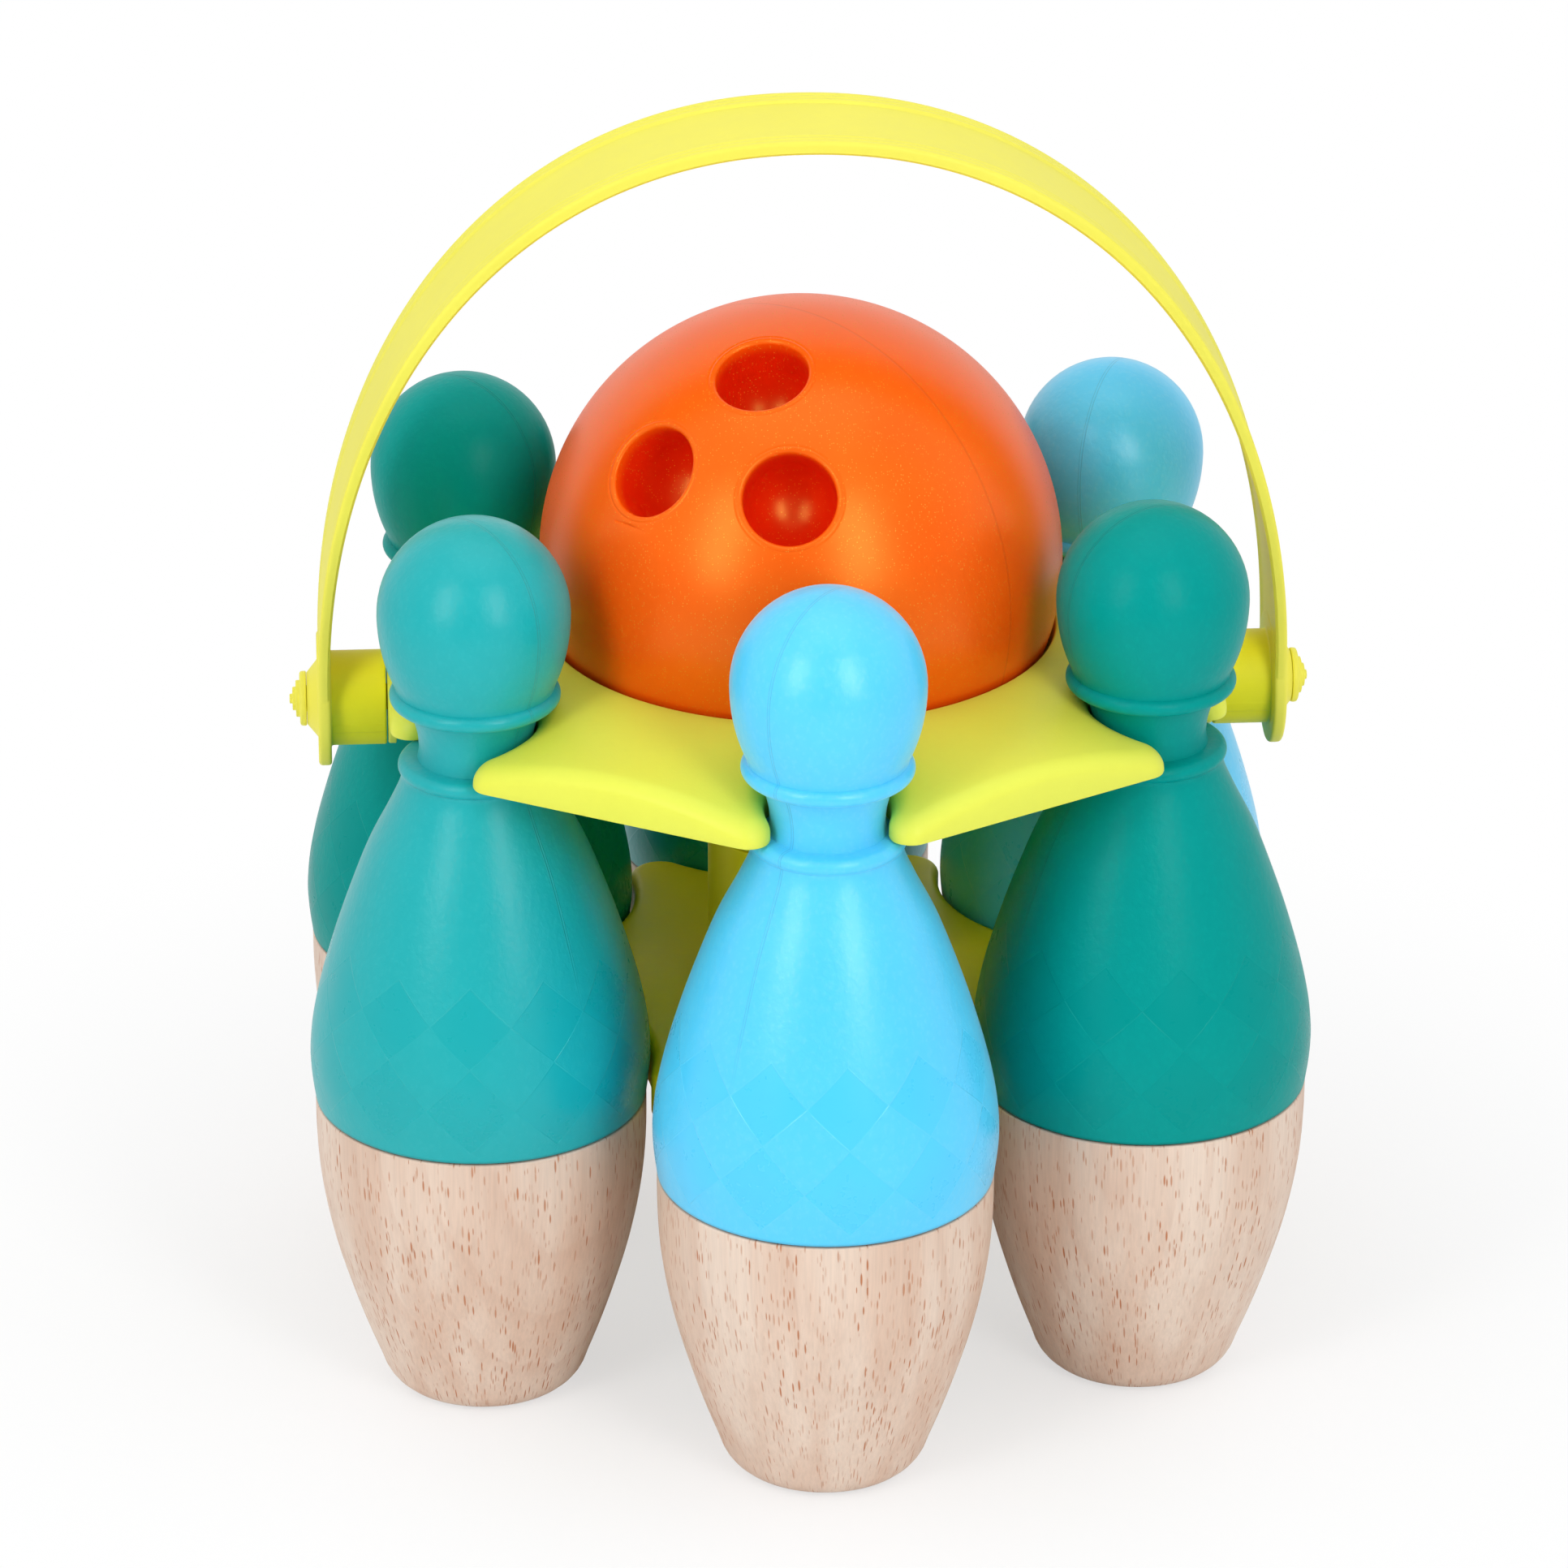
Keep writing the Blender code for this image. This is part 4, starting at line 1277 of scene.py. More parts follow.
@dataclass(frozen=True)
class Arc:
    """One arc of a plan, from start to end in radians. A hollow arc grows when the plan shrinks."""

    centre: Vector
    radius: float
    start: float
    end: float
    steps: int
    hollow: bool

    def points(self, inset: float) -> list[Point]:
        """The arc's points when the plan is moved in by inset.

        Args:
            inset: how far the outline is moved in.

        Returns:
            The points.
        """
        size = self.radius + inset if self.hollow else self.radius - inset
        turns = [self.start + (self.end - self.start) * step / self.steps for step in range(self.steps + 1)]
        return [(self.centre.x + size * cos(turn), self.centre.y + size * sin(turn)) for turn in turns]


@dataclass(frozen=True)
class Plan:
    """A closed outline of arcs, seen from above, whose straight sides are divided.

    A gap between two arcs that is longer than the shortest side is a straight side.
    """

    arcs: Sequence[Arc]
    straight: int = 18
    shortest: float = 0.02

    def points(self, inset: float) -> list[Point]:
        """The outline moved in by inset, with its straight sides divided.

        Args:
            inset: how far the outline is moved in.

        Returns:
            The points.
        """
        line: list[Point] = []
        for part in self.arcs:
            for point in part.points(inset):
                if line and dist(point, line[-1]) > self.shortest:
                    line += self.between(line[-1], point)
                if not line or dist(point, line[-1]) > WELD:
                    line.append(point)
        if dist(line[0], line[-1]) > self.shortest:
            line += self.between(line[-1], line[0])
        return line if dist(line[0], line[-1]) > WELD else line[:-1]

    def between(self, first: Point, last: Point) -> list[Point]:
        """Points that divide a straight side."""
        shares = [step / self.straight for step in range(1, self.straight)]
        return [(first[0] + (last[0] - first[0]) * s, first[1] + (last[1] - first[1]) * s) for s in shares]


def inside(spots: np.ndarray, outline: np.ndarray) -> np.ndarray:
    """Says which spots of a plan lie inside a closed outline.

    Args:
        spots: the (x, y) spots.
        outline: the outline's (x, y) points in order.

    Returns:
        True or False for each spot.
    """
    ahead = np.roll(outline, -1, axis=0)
    x, y = spots[:, :1], spots[:, 1:]
    spans = (outline[:, 1] > y) != (ahead[:, 1] > y)
    rise = np.where(ahead[:, 1] == outline[:, 1], 1.0, ahead[:, 1] - outline[:, 1])
    meets = outline[:, 0] + (y - outline[:, 1]) * (ahead[:, 0] - outline[:, 0]) / rise
    return (np.sum(spans & (x < meets), axis=1) % 2).astype(bool)


class Skin:
    """A mesh in the making, from rings of points and filled plans."""

    def __init__(self) -> None:
        """Starts empty."""
        self.bm = bmesh.new()

    def ring(self, points: Iterable[Sequence[float]]) -> Ring:
        """New vertices for a closed ring."""
        return [self.bm.verts.new(point) for point in points]

    def circle(self, radius: float, height: float, centre: Point = (0, 0), steps: int = 120) -> Ring:
        """A level ring about an upright axis."""
        return self.ring((centre[0] + x, centre[1] + y, height) for x, y in on_circle(radius, steps))

    def bands(self, rings: Sequence[Ring]) -> None:
        """Joins each ring to the next.

        Args:
            rings: rings of equal length, in order.
        """
        for first, second in zip(rings, rings[1:]):
            for step in range(len(first)):
                self.bm.faces.new((first[step - 1], first[step], second[step], second[step - 1]))

    def close(self, ring: Ring) -> None:
        """Closes a level ring with triangles to its middle.

        Args:
            ring: the ring.
        """
        middle = sum((vert.co for vert in ring), Vector()) / len(ring)
        top = self.bm.verts.new(middle)
        for step in range(len(ring)):
            self.bm.faces.new((ring[step - 1], ring[step], top))

    def loop_edges(self, ring: Ring) -> list[bmesh.types.BMEdge]:
        """The edges along a ring, made where they are missing."""
        pairs = [(ring[step - 1], ring[step]) for step in range(len(ring))]
        return [self.bm.edges.get(pair) or self.bm.edges.new(pair) for pair in pairs]

    def drill(
        self, ring: Ring, other: Optional[Ring], centres: Iterable[Point], radius: float, depth: float
    ) -> None:
        """Closes a level ring but for round holes, which run up to a second level.

        Args:
            ring: the ring to close.
            other: a ring round the holes' far ends, which is closed too, or None for blind holes.
            centres: the holes' centres.
            radius: the holes' radius.
            depth: how far the holes go up, or down where it is negative.
        """
        height = ring[0].co.z
        near = [self.circle(radius, height, centre, 24) for centre in centres]
        far = [self.ring((vert.co.x, vert.co.y, height + depth) for vert in hole) for hole in near]
        for first, second in zip(near, far):
            self.bands([first, second])
        ends = [(ring, near)] + ([(other, far)] if other else [])
        for around, holes in ends:
            edges = [edge for loop in (around, *holes) for edge in self.loop_edges(loop)]
            bmesh.ops.triangle_fill(self.bm, use_beauty=True, edges=edges, normal=(0, 0, 1))
        if not other:
            for hole in far:
                self.close(hole)

    def fill(self, outer: Ring, inner: Ring, level: Level, spacing: float) -> None:
        """Fills the plan between two rings with small triangles on a curved surface.

        Args:
            outer: the outline's ring.
            inner: the ring of the hole in it, about the Z axis.
            level: height of the surface at a place of the plan.
            spacing: about how far apart the points inside lie.
        """
        rim = np.array([vert.co.xy for vert in outer])
        hole = hypot(*inner[0].co.xy)
        reach = ceil(np.abs(rim).max() / spacing)
        columns, rows = range(-reach, reach + 1), range(-2 * reach, 2 * reach + 1)
        row_share, clear = 0.866, spacing * 0.6
        grid = [(spacing * (a + 0.5 * (b % 2)), spacing * b * row_share) for a in columns for b in rows]
        spots = np.array([spot for spot in grid if hypot(*spot) > hole + clear])
        spots = spots[inside(spots, rim)]
        spots = spots[np.min(np.linalg.norm(spots[:, None] - rim[None], axis=2), axis=1) > clear]
        verts = outer + inner + [self.bm.verts.new((x, y, level(x, y))) for x, y in spots]
        flat = [vert.co.xy for vert in verts]
        edges = [((step - 1) % len(outer), step) for step in range(len(outer))]
        edges += [(len(outer) + (step - 1) % len(inner), len(outer) + step) for step in range(len(inner))]
        _, _, faces, sources, _, _ = delaunay_2d_cdt(flat, edges, [], 0, 0.0000001)
        corners = [[sources[corner][0] for corner in face] for face in faces]
        middles = np.array([np.mean([flat[corner] for corner in face], axis=0) for face in corners])
        kept = inside(middles, rim) & (np.linalg.norm(middles, axis=1) > hole * 0.9995)
        for face, keep in zip(corners, kept):
            if keep:
                self.bm.faces.new([verts[corner] for corner in face])

    def mesh(self, name: str) -> Mesh:
        """Ends the work and returns the mesh."""
        return baked(self.bm, name)


@dataclass(frozen=True)
class Pivot:
    """The line that the handle turns about, and the sizes of what turns on it."""

    height: float = 0.1570
    lug_face: float = 0.09807
    lug_radius: float = 0.0111
    lug_wall: float = 0.0020
    socket: Point = (0.0060, 0.0090)
    bore: float = 0.0034
    hub_radius: float = 0.01125
    hub_start: float = 0.09837
    ear_face: float = 0.11147
    ear_radius: float = 0.0160
    ear_wall: float = 0.0031
    cone: Point = (0.0092, 0.0061)
    cone_end: float = 0.11710
    pin_radius: float = 0.0031
    button_face: float = 0.11717
    button: Point = (0.0065, 0.0016)
    crown: Sequence[Point] = ((0.00436, 0.00093), (0.0028, 0.0008), (0.00117, 0.00067))

    def lug(self, shop: Workshop, side: Side) -> Mesh:
        """The tray's lug with the socket behind it.

        Args:
            shop: the geometry trees that pieces share.
            side: the end of the pivot line.

        Returns:
            The mesh.
        """
        back = self.lug_face - self.lug_wall
        end = back - self.socket[1]
        corners = [
            (self.bore, self.lug_face, 0.0002),
            (self.lug_radius, self.lug_face, 0.0006),
            (self.lug_radius, back, 0.0003),
            (self.socket[0], back, 0),
            (self.socket[0], end, 0.0003),
            (self.bore, end, 0),
        ]
        line = rounded(corners, closed=True)
        return shop.turn(line + line[:1], (0, 0, self.height), 72, side)

    def ear(self, shop: Workshop, side: Side) -> Mesh:
        """The handle's ear with its hub and cone.

        Args:
            shop: the geometry trees that pieces share.
            side: the end of the pivot line.

        Returns:
            The mesh.
        """
        corners = [
            (self.bore, self.hub_start, 0.0002),
            (self.hub_radius, self.hub_start, 0.0006),
            (self.hub_radius, self.ear_face, 0.0006),
            (self.ear_radius, self.ear_face, 0.0009),
            (self.ear_radius, self.ear_face + self.ear_wall, 0.0010),
            (self.cone[0], self.ear_face + self.ear_wall, 0.0005),
            (self.cone[1], self.cone_end, 0.0006),
            (self.bore, self.cone_end, 0.0002),
        ]
        line = rounded(corners, closed=True)
        return shop.turn(line + line[:1], (0, 0, self.height), 96, side)

    def pin(self, shop: Workshop, side: Side) -> Mesh:
        """A pivot pin with its stepped button.

        Args:
            shop: the geometry trees that pieces share.
            side: the end of the pivot line.

        Returns:
            The mesh.
        """
        start = self.lug_face - self.lug_wall - self.socket[1]
        top = self.button_face + self.button[1]
        corners = [
            (0, start, 0),
            (self.pin_radius, start, 0.0005),
            (self.pin_radius, self.button_face, 0),
            (self.button[0], self.button_face, 0.0004),
            (self.button[0], top, 0.0008),
        ]
        for radius, rise in self.crown:
            corners += [(radius, top, 0.0002), (radius, top + rise, 0.0003)]
            top += rise
        return shop.turn(rounded(corners + [(0, top, 0)]), (0, 0, self.height), 72, side)

    def build(self, shop: Workshop, finish: Material) -> list[Object]:
        """Builds the two pivot pins.

        Args:
            shop: the geometry trees that pieces share.
            finish: the plastic.

        Returns:
            The pieces.
        """
        pieces = []
        for side in Side:
            name, mesh = f"{side.name.lower()}_pivot", self.pin(shop, side)
            pieces.append(add_piece(f"{name}_pin", [mesh], finish, "carrier", Slot.LIME, [name]))
        return pieces


@dataclass(frozen=True)
class Tray:
    """The hexagonal tray with a notch for each pin, the ball's cup and the handle's lugs.

    The lip is how far the cup's lip is rounded out, and the radius of its crest. The rings lie
    between it and the plan. The roll's shares divide the rounded edge. The hem is (inset, height
    over the bottom) of the skirt's lower edge. The spacings are those of the points on the upper
    side and on the underside.
    """

    pin_circle: float = PIN_CIRCLE
    horn_out: float = 0.00626
    horn_across: float = 0.0184
    horn_radius: float = 0.0050
    notch_radius: float = 0.01444
    bottom: float = 0.1620
    rim: Point = (0.0605, 0.1747)
    reach: float = 0.0979
    side_drop: float = 0.0026
    horn_drop: float = 0.0050
    wall: float = 0.0022
    roll: float = 0.0044
    side_roll: float = 0.0034
    horn_roll: float = 0.0038
    cup: float = 0.0626
    cup_height: float = 0.1908
    boss: Point = (0.0220, 0.1219)
    hole: Point = (0.0018, 0.0053)
    holes: float = 0.0105
    lip: Point = (0.0026, 0.0013)
    rings: Sequence[float] = (0.0645, 0.0660, 0.0675)
    roll_shares: Sequence[float] = (1, 0.82, 0.65, 0.5, 0.37, 0.26, 0.17, 0.1, 0.05, 0.015, 0)
    hem: Sequence[Point] = ((0, 0.0005), (0.00015, 0.00015), (0.0005, 0), (0.0017, 0), (0.0021, 0.0003))
    spacings: Point = (0.0022, 0.0030)

    def plan(self) -> Plan:
        """The tray's plan: straight sides, and at each pin a round notch between two horns.

        Returns:
            The plan.
        """
        arcs = []
        reach = atan2(self.horn_across, self.horn_out)
        for index in range(PINS):
            turn = pin_turn(index)
            spin = Matrix.Rotation(turn, 2)
            before = spin @ Vector((self.pin_circle + self.horn_out, -self.horn_across))
            after = spin @ Vector((self.pin_circle + self.horn_out, self.horn_across))
            pin = spin @ Vector((self.pin_circle, 0))
            side = radians(30)
            arcs.append(Arc(before, self.horn_radius, turn - side, turn + pi - reach, 14, False))
            arcs.append(Arc(pin, self.notch_radius, turn - reach, turn + reach - 2 * pi, 32, True))
            arcs.append(Arc(after, self.horn_radius, turn + reach - pi, turn + side, 14, False))
        return Plan(arcs)

    def lobe(self, x: float, y: float) -> float:
        """How near a place is to a pin's direction: 0 at the middle of a side, 1 towards a pin."""
        return (1 - cos(PINS * atan2(y, x))) / 2

    def top(self, x: float, y: float) -> float:
        """Height of the upper surface before its edge is rounded: high along the middle of each side."""
        share = (hypot(x, y) - self.rim[0]) / (self.reach - self.rim[0])
        return self.rim[1] - self.side_drop * share - self.horn_drop * share**2 * self.lobe(x, y)

    def rounding(self, x: float, y: float) -> float:
        """Height of the rounding of the edge."""
        return self.side_roll + (self.horn_roll - self.side_roll) * self.lobe(x, y)

    def under(self, x: float, y: float) -> float:
        """Height of the underside."""
        return self.top(x, y) - self.wall

    def on_cup(self, radius: float, start: float, end: float, steps: int) -> list[Point]:
        """(radius, height) points on a sphere about the ball's centre, by degrees below its middle."""
        line = arc((0, 0), (radius, radius), -start, -end, steps)
        return [(reach, self.cup_height + fall) for reach, fall in line]

    def mesh(self) -> Mesh:
        """The tray and its cup as one closed wall.

        Returns:
            The mesh.
        """
        skin, plan = Skin(), self.plan()
        start = degrees(asin((self.cup_height - self.rim[1] + 0.0014) / self.cup))
        inner = self.on_cup(self.cup, 88, start, 30)
        past = self.rim[0] + self.lip[0]
        lip = [(*inner[-1], 0), (*self.rim, self.lip[1]), (past, self.top(past, 0), 0)]
        tops = [skin.circle(*point) for point in inner[:-1] + rounded(lip, 6)]
        for radius in self.rings:
            tops.append(skin.ring((*point, self.top(*point)) for point in on_circle(radius, 120)))
        skin.close(tops[0])
        skin.bands(tops)

        edge = []
        for share in self.roll_shares:
            drop = 1 - sqrt(1 - (1 - share) ** 2)
            points = plan.points(self.roll * share)
            edge.append(skin.ring((x, y, self.top(x, y) - self.rounding(x, y) * drop) for x, y in points))
        for inset, rise in self.hem:
            edge.append(skin.ring((x, y, self.bottom + rise) for x, y in plan.points(inset)))
        edge.append(skin.ring((x, y, self.top(x, y) - 2 * self.wall) for x, y in plan.points(self.wall)))
        skin.bands(edge)
        skin.fill(edge[0], tops[-1], self.top, self.spacings[0])

        outer = self.cup + self.wall
        meet = degrees(asin((self.cup_height - self.under(self.rim[0] + self.wall, 0)) / outer))
        under = [skin.ring((*point, self.under(*point)) for point in on_circle(self.rings[-1], 120))]
        line = self.on_cup(outer, meet, degrees(acos(self.boss[0] / outer)), 20)
        foot = [(*line[-1], 0), (*self.boss, 0.0006), (self.boss[0] - 0.002, self.boss[1], 0)]
        under += [skin.circle(*point) for point in line[:-1] + rounded(foot)]
        skin.bands(under)
        skin.fill(edge[-1], under[0], self.under, self.spacings[1])
        skin.drill(under[-1], None, on_circle(self.holes, SCREWS), *self.hole)
        return skin.mesh("tray")

    def build(self, shop: Workshop, pivot: Pivot, finish: Material) -> list[Object]:
        """Builds the tray and returns its piece."""
        meshes = [self.mesh()] + [pivot.lug(shop, side) for side in Side]
        return [add_piece("carrying_tray", meshes, finish, "carrier", Slot.LIME, ("tray", "cup"), 40.0)]


@dataclass(frozen=True)
class Screw:
    """A screw that stands head down, with a thread and a cross recess.

    The thread's profile is (share of a turn, share of the radius). The plain length is what the
    thread leaves of the length, of which the neck lies next to the head.
    """

    radius: float = 0.0015
    length: float = 0.0086
    head: float = 0.0030
    head_height: float = 0.0020
    turns: int = 9
    profile: Sequence[Point] = ((0.2, 0.8), (0.6, 0.98), (1.0, 0.8))
    plain: float = 0.0026
    neck: float = 0.0004
    tip: float = 0.0016
    cross: Point = (0.0022, 0.0005)
    cross_depth: float = 0.0018
    steps: int = 24

    def outline(self, seat: float) -> list[Point]:
        """(radius, height) points from the head's rim to the tip, for a head that ends at a height.

        Args:
            seat: the height at which the head ends.

        Returns:
            The points.
        """
        low = seat - self.head_height
        rim = low + self.head_height * 0.45
        corners = [
            (0, low, 0),
            (self.head * 0.7, low, 0.0004),
            (self.head, rim, 0.0004),
            (self.head, seat, 0.0002),
        ]
        line = rounded(corners)[1:] + [(self.radius, seat)]
        thread = self.length - self.plain
        for number in range(self.turns):
            start = seat + self.neck + thread * number / self.turns
            line += [(self.radius * out, start + thread / self.turns * up) for up, out in self.profile]
        return line + [(self.radius * 0.7, seat + self.length - self.tip)]

    @staticmethod
    def outward(skin: Skin) -> Object:
        """A passing object of a skin whose faces are turned out."""
        bmesh.ops.recalc_face_normals(skin.bm, faces=skin.bm.faces)
        return show("passing", skin.mesh("passing"))

    def mesh(self, seat: float) -> Mesh:
        """The screw's mesh, for a head that ends at a height.

        Args:
            seat: the height at which the head ends.

        Returns:
            The mesh.
        """
        skin = Skin()
        rings = [skin.circle(*point, steps=self.steps) for point in self.outline(seat)]
        skin.bands(rings)
        skin.close(rings[0])
        skin.close(rings[-1])
        body = self.outward(skin)
        skin = Skin()
        for size in (self.cross, self.cross[::-1]):
            block = bmesh.ops.create_cube(skin.bm, size=1)["verts"]
            bmesh.ops.scale(skin.bm, verts=block, vec=(*size, self.cross_depth))
            bmesh.ops.translate(skin.bm, verts=block, vec=(0, 0, seat - self.head_height))
        recess = self.outward(skin)
        cut = body.modifiers.new("recess", "BOOLEAN")
        cut.operation, cut.object, cut.use_self = "DIFFERENCE", recess, True
        mesh = evaluated_mesh(body)
        for obj in (body, recess):
            bpy.data.objects.remove(obj)
        return mesh


@dataclass(frozen=True)
class Stand:
    """The lower plate between the pins, its column and the screws that hold the column.

    The roll's shares divide the plate's rounded edge, and the hem is (inset, height over the
    bottom) of the skirt's lower edge.
    """

    pin_circle: float = PIN_CIRCLE
    notch: float = 0.0405
    tip: float = 0.0076
    top: float = 0.0840
    bottom: float = 0.0720
    wall: float = 0.0022
    roll: float = 0.0025
    column: float = 0.0220
    gap: float = 0.0003
    column_top: float = 0.1216
    column_wall: float = 0.0025
    web: float = 0.0030
    flange: Point = (0.0250, 0.0020)
    hole: float = 0.0018
    screws: float = 0.0105
    screw: Screw = Screw()
    edge_round: float = 0.0004
    roll_shares: Sequence[float] = (1, 0.75, 0.52, 0.34, 0.2, 0.1, 0.03, 0)
    hem: Sequence[Point] = ((0, 0.0004), (0.0004, 0), (0.0018, 0), (0.0022, 0.0004))
    spacings: Point = (0.0030, 0.0040)

    def plan(self) -> Plan:
        """The plate's plan: a hollow round each pin and a rounded tip between two pins.

        Returns:
            The plan.
        """
        arcs = []
        half_gap = self.pin_circle * sin(radians(30))
        reach = self.notch + self.tip
        tip_out = self.pin_circle * cos(radians(30)) - sqrt(reach**2 - half_gap**2)
        lean = acos(half_gap / reach)
        for index in range(PINS):
            turn = pin_turn(index)
            middle = turn + radians(30)
            pin = Matrix.Rotation(turn, 2) @ Vector((self.pin_circle, 0))
            tip = Matrix.Rotation(middle, 2) @ Vector((tip_out, 0))
            spread, half_turn = radians(60) - lean, pi / 2 - lean
            arcs.append(Arc(pin, self.notch, turn + pi + spread, turn + pi - spread, 36, True))
            arcs.append(Arc(tip, self.tip, middle - half_turn, middle + half_turn, 16, False))
        return Plan(arcs)

    def plate(self) -> Mesh:
        """The plate as one closed wall with a hole for the column.

        Returns:
            The mesh.
        """
        skin, plan = Skin(), self.plan()
        under = self.top - self.wall
        bore = self.column + self.gap
        edge = []
        for share in self.roll_shares:
            drop = self.roll - self.roll * sqrt(1 - (1 - share) ** 2)
            edge.append(skin.ring((x, y, self.top - drop) for x, y in plan.points(self.roll * share)))
        for inset, height in [(inset, self.bottom + rise) for inset, rise in self.hem] + [(self.wall, under)]:
            edge.append(skin.ring((x, y, height) for x, y in plan.points(inset)))
        skin.bands(edge)
        mouth = ((bore + self.edge_round, self.top), (bore, self.top - self.edge_round), (bore, under))
        holes = [skin.circle(*point) for point in mouth]
        skin.bands(holes)
        skin.fill(edge[0], holes[0], lambda x, y: self.top, self.spacings[0])
        skin.fill(edge[-1], holes[-1], lambda x, y: under, self.spacings[1])
        return skin.mesh("plate")

    def tube(self) -> Mesh:
        """The column: open below, closed above by a web with screw holes, with a flange under the plate.

        Returns:
            The mesh.
        """
        skin = Skin()
        seat_height = self.top - self.wall - self.gap
        low = seat_height - self.flange[1]
        bore = self.column - self.column_wall
        corners = [
            (self.column - 0.0015, self.column_top, 0),
            (self.column, self.column_top, 0.0005),
            (self.column, seat_height, 0),
            (self.flange[0], seat_height, self.edge_round),
            (self.flange[0], low, self.edge_round),
            (bore, low, self.edge_round),
            (bore, self.column_top - self.web, 0),
        ]
        rings = [skin.circle(*point) for point in rounded(corners)]
        skin.bands(rings)
        skin.drill(rings[0], rings[-1], on_circle(self.screws, SCREWS), self.hole, -self.web)
        return skin.mesh("column")

    def build(self, shop: Workshop, lime: Material, steel: Material) -> list[Object]:
        """Builds the plate, the column and the screws.

        Args:
            shop: the geometry trees that pieces share.
            lime: the plastic.
            steel: the screws' material.

        Returns:
            The pieces.
        """
        plate = add_piece("star_plate", [self.plate()], lime, "carrier", Slot.LIME, ["lower_plate"], 40.0)
        column = add_piece("centre_column", [self.tube()], lime, "carrier", Slot.LIME, ["column"])
        screw = self.screw.mesh(self.column_top - self.web - self.gap)
        screws = run_tree(shop.circle, screw, {"Count": SCREWS, "Radius": self.screws})
        nodes = [f"screw_{number + 1}" for number in range(SCREWS)]
        return [plate, column, add_piece("column_screws", [screws], steel, "carrier", Slot.STEEL, nodes)]


@dataclass(frozen=True)
class Handle:
    """The arched handle: a strip with three ribs along each edge, between two ears.

    The ribs are their places across the strip, and their profile is (share of half a rib across,
    share of the groove's depth). The wall is how far the step down to the sunk band leans out.
    """

    span: float = 0.11302
    rise: float = 0.1354
    straight: float = 0.0064
    power: float = 2.13
    foot: float = 0.00448
    thickness: float = 0.0025
    half_width: float = 0.0175
    foot_half_width: float = 0.01506
    fade: float = 0.2
    ribs: Sequence[float] = (0.0163, 0.0143, 0.0123)
    rib_half: float = 0.00072
    half_pitch: float = 0.0010
    groove: float = 0.0002
    band: float = 0.0006
    lip: float = 0.0008
    lip_round: float = 0.0006
    wall: float = 0.0006
    profile: Sequence[Point] = ((1.0, 0.45), (0.75, 0.1), (0.35, 0), (-0.35, 0), (-0.75, 0.1), (-1.0, 0.45))
    flats: Sequence[float] = (0.6, 0.2, -0.2, -0.6)
    stations: int = 150

    def section(self) -> list[tuple[float, float, float]]:
        """(across, offset, offset where the ribs have faded) points round the strip, evenly spread.

        Returns:
            The points.
        """
        top = self.thickness / 2
        edge = self.half_width
        half = [(edge, 0.0), (edge, top - 0.0008), (edge - 0.0002, top - 0.0003)]
        line = [(*point, point[1]) for point in half]
        for rib in self.ribs:
            for across, sink in self.profile:
                line.append((rib + self.rib_half * across, top - self.groove * sink, top))
            last = rib is self.ribs[-1]
            deep = self.band if last else self.groove
            gap = self.wall if last else self.half_pitch - self.rib_half
            line.append((rib - self.rib_half - gap, top - deep, top))
        inner = line[-1][0] - self.wall
        line.append((inner, top - self.band, top))
        middle = [(inner * share, top - self.band, top) for share in self.flats]
        low = -top - self.lip
        soft = self.lip_round
        under = [(edge, low + soft, -top + soft), (edge - soft, low, -top), (edge - 3 * soft, low, -top)]
        under += [(edge - 3 * soft - self.lip, -top, -top), (edge * 0.5, -top, -top)]
        left = [(-across, offset, faded) for across, offset, faded in reversed(line)]
        end = [(-across, offset, faded) for across, offset, faded in under]
        return line + middle + left + end + [(0, -top, -top)] + under[::-1]

    def build(self, shop: Workshop, pivot: Pivot, finish: Material) -> list[Object]:
        """Builds the handle.

        Args:
            shop: the geometry trees that pieces share.
            pivot: the line that the handle turns about.
            finish: the plastic.

        Returns:
            The pieces.
        """
        sizes = {
            "Stations": self.stations,
            "Half span": self.span,
            "Rise": self.rise,
            "Power": self.power,
            "Straight": self.straight,
            "Foot": self.foot,
            "Foot width": self.foot_half_width / self.half_width,
            "Fade": self.fade,
            "Place": (0.0, 0.0, pivot.height),
        }
        strip = run_tree(shop.arch, self.section(), sizes)
        meshes = [strip] + [pivot.ear(shop, side) for side in Side]
        return [add_piece("arched_handle", meshes, finish, "handle", Slot.LIME, ["handle"], 40.0)]


# Studio


@dataclass(frozen=True)
class Lamp:
    """A soft rectangular lamp that faces the set.

    Its place is its angles to the right of the camera and above level, in degrees. Its strength is
    the brightness of its face where 1 is white.
    """

    name: str
    across: float
    rise: float
    size: Point
    strength: float
    away: float = 1.0


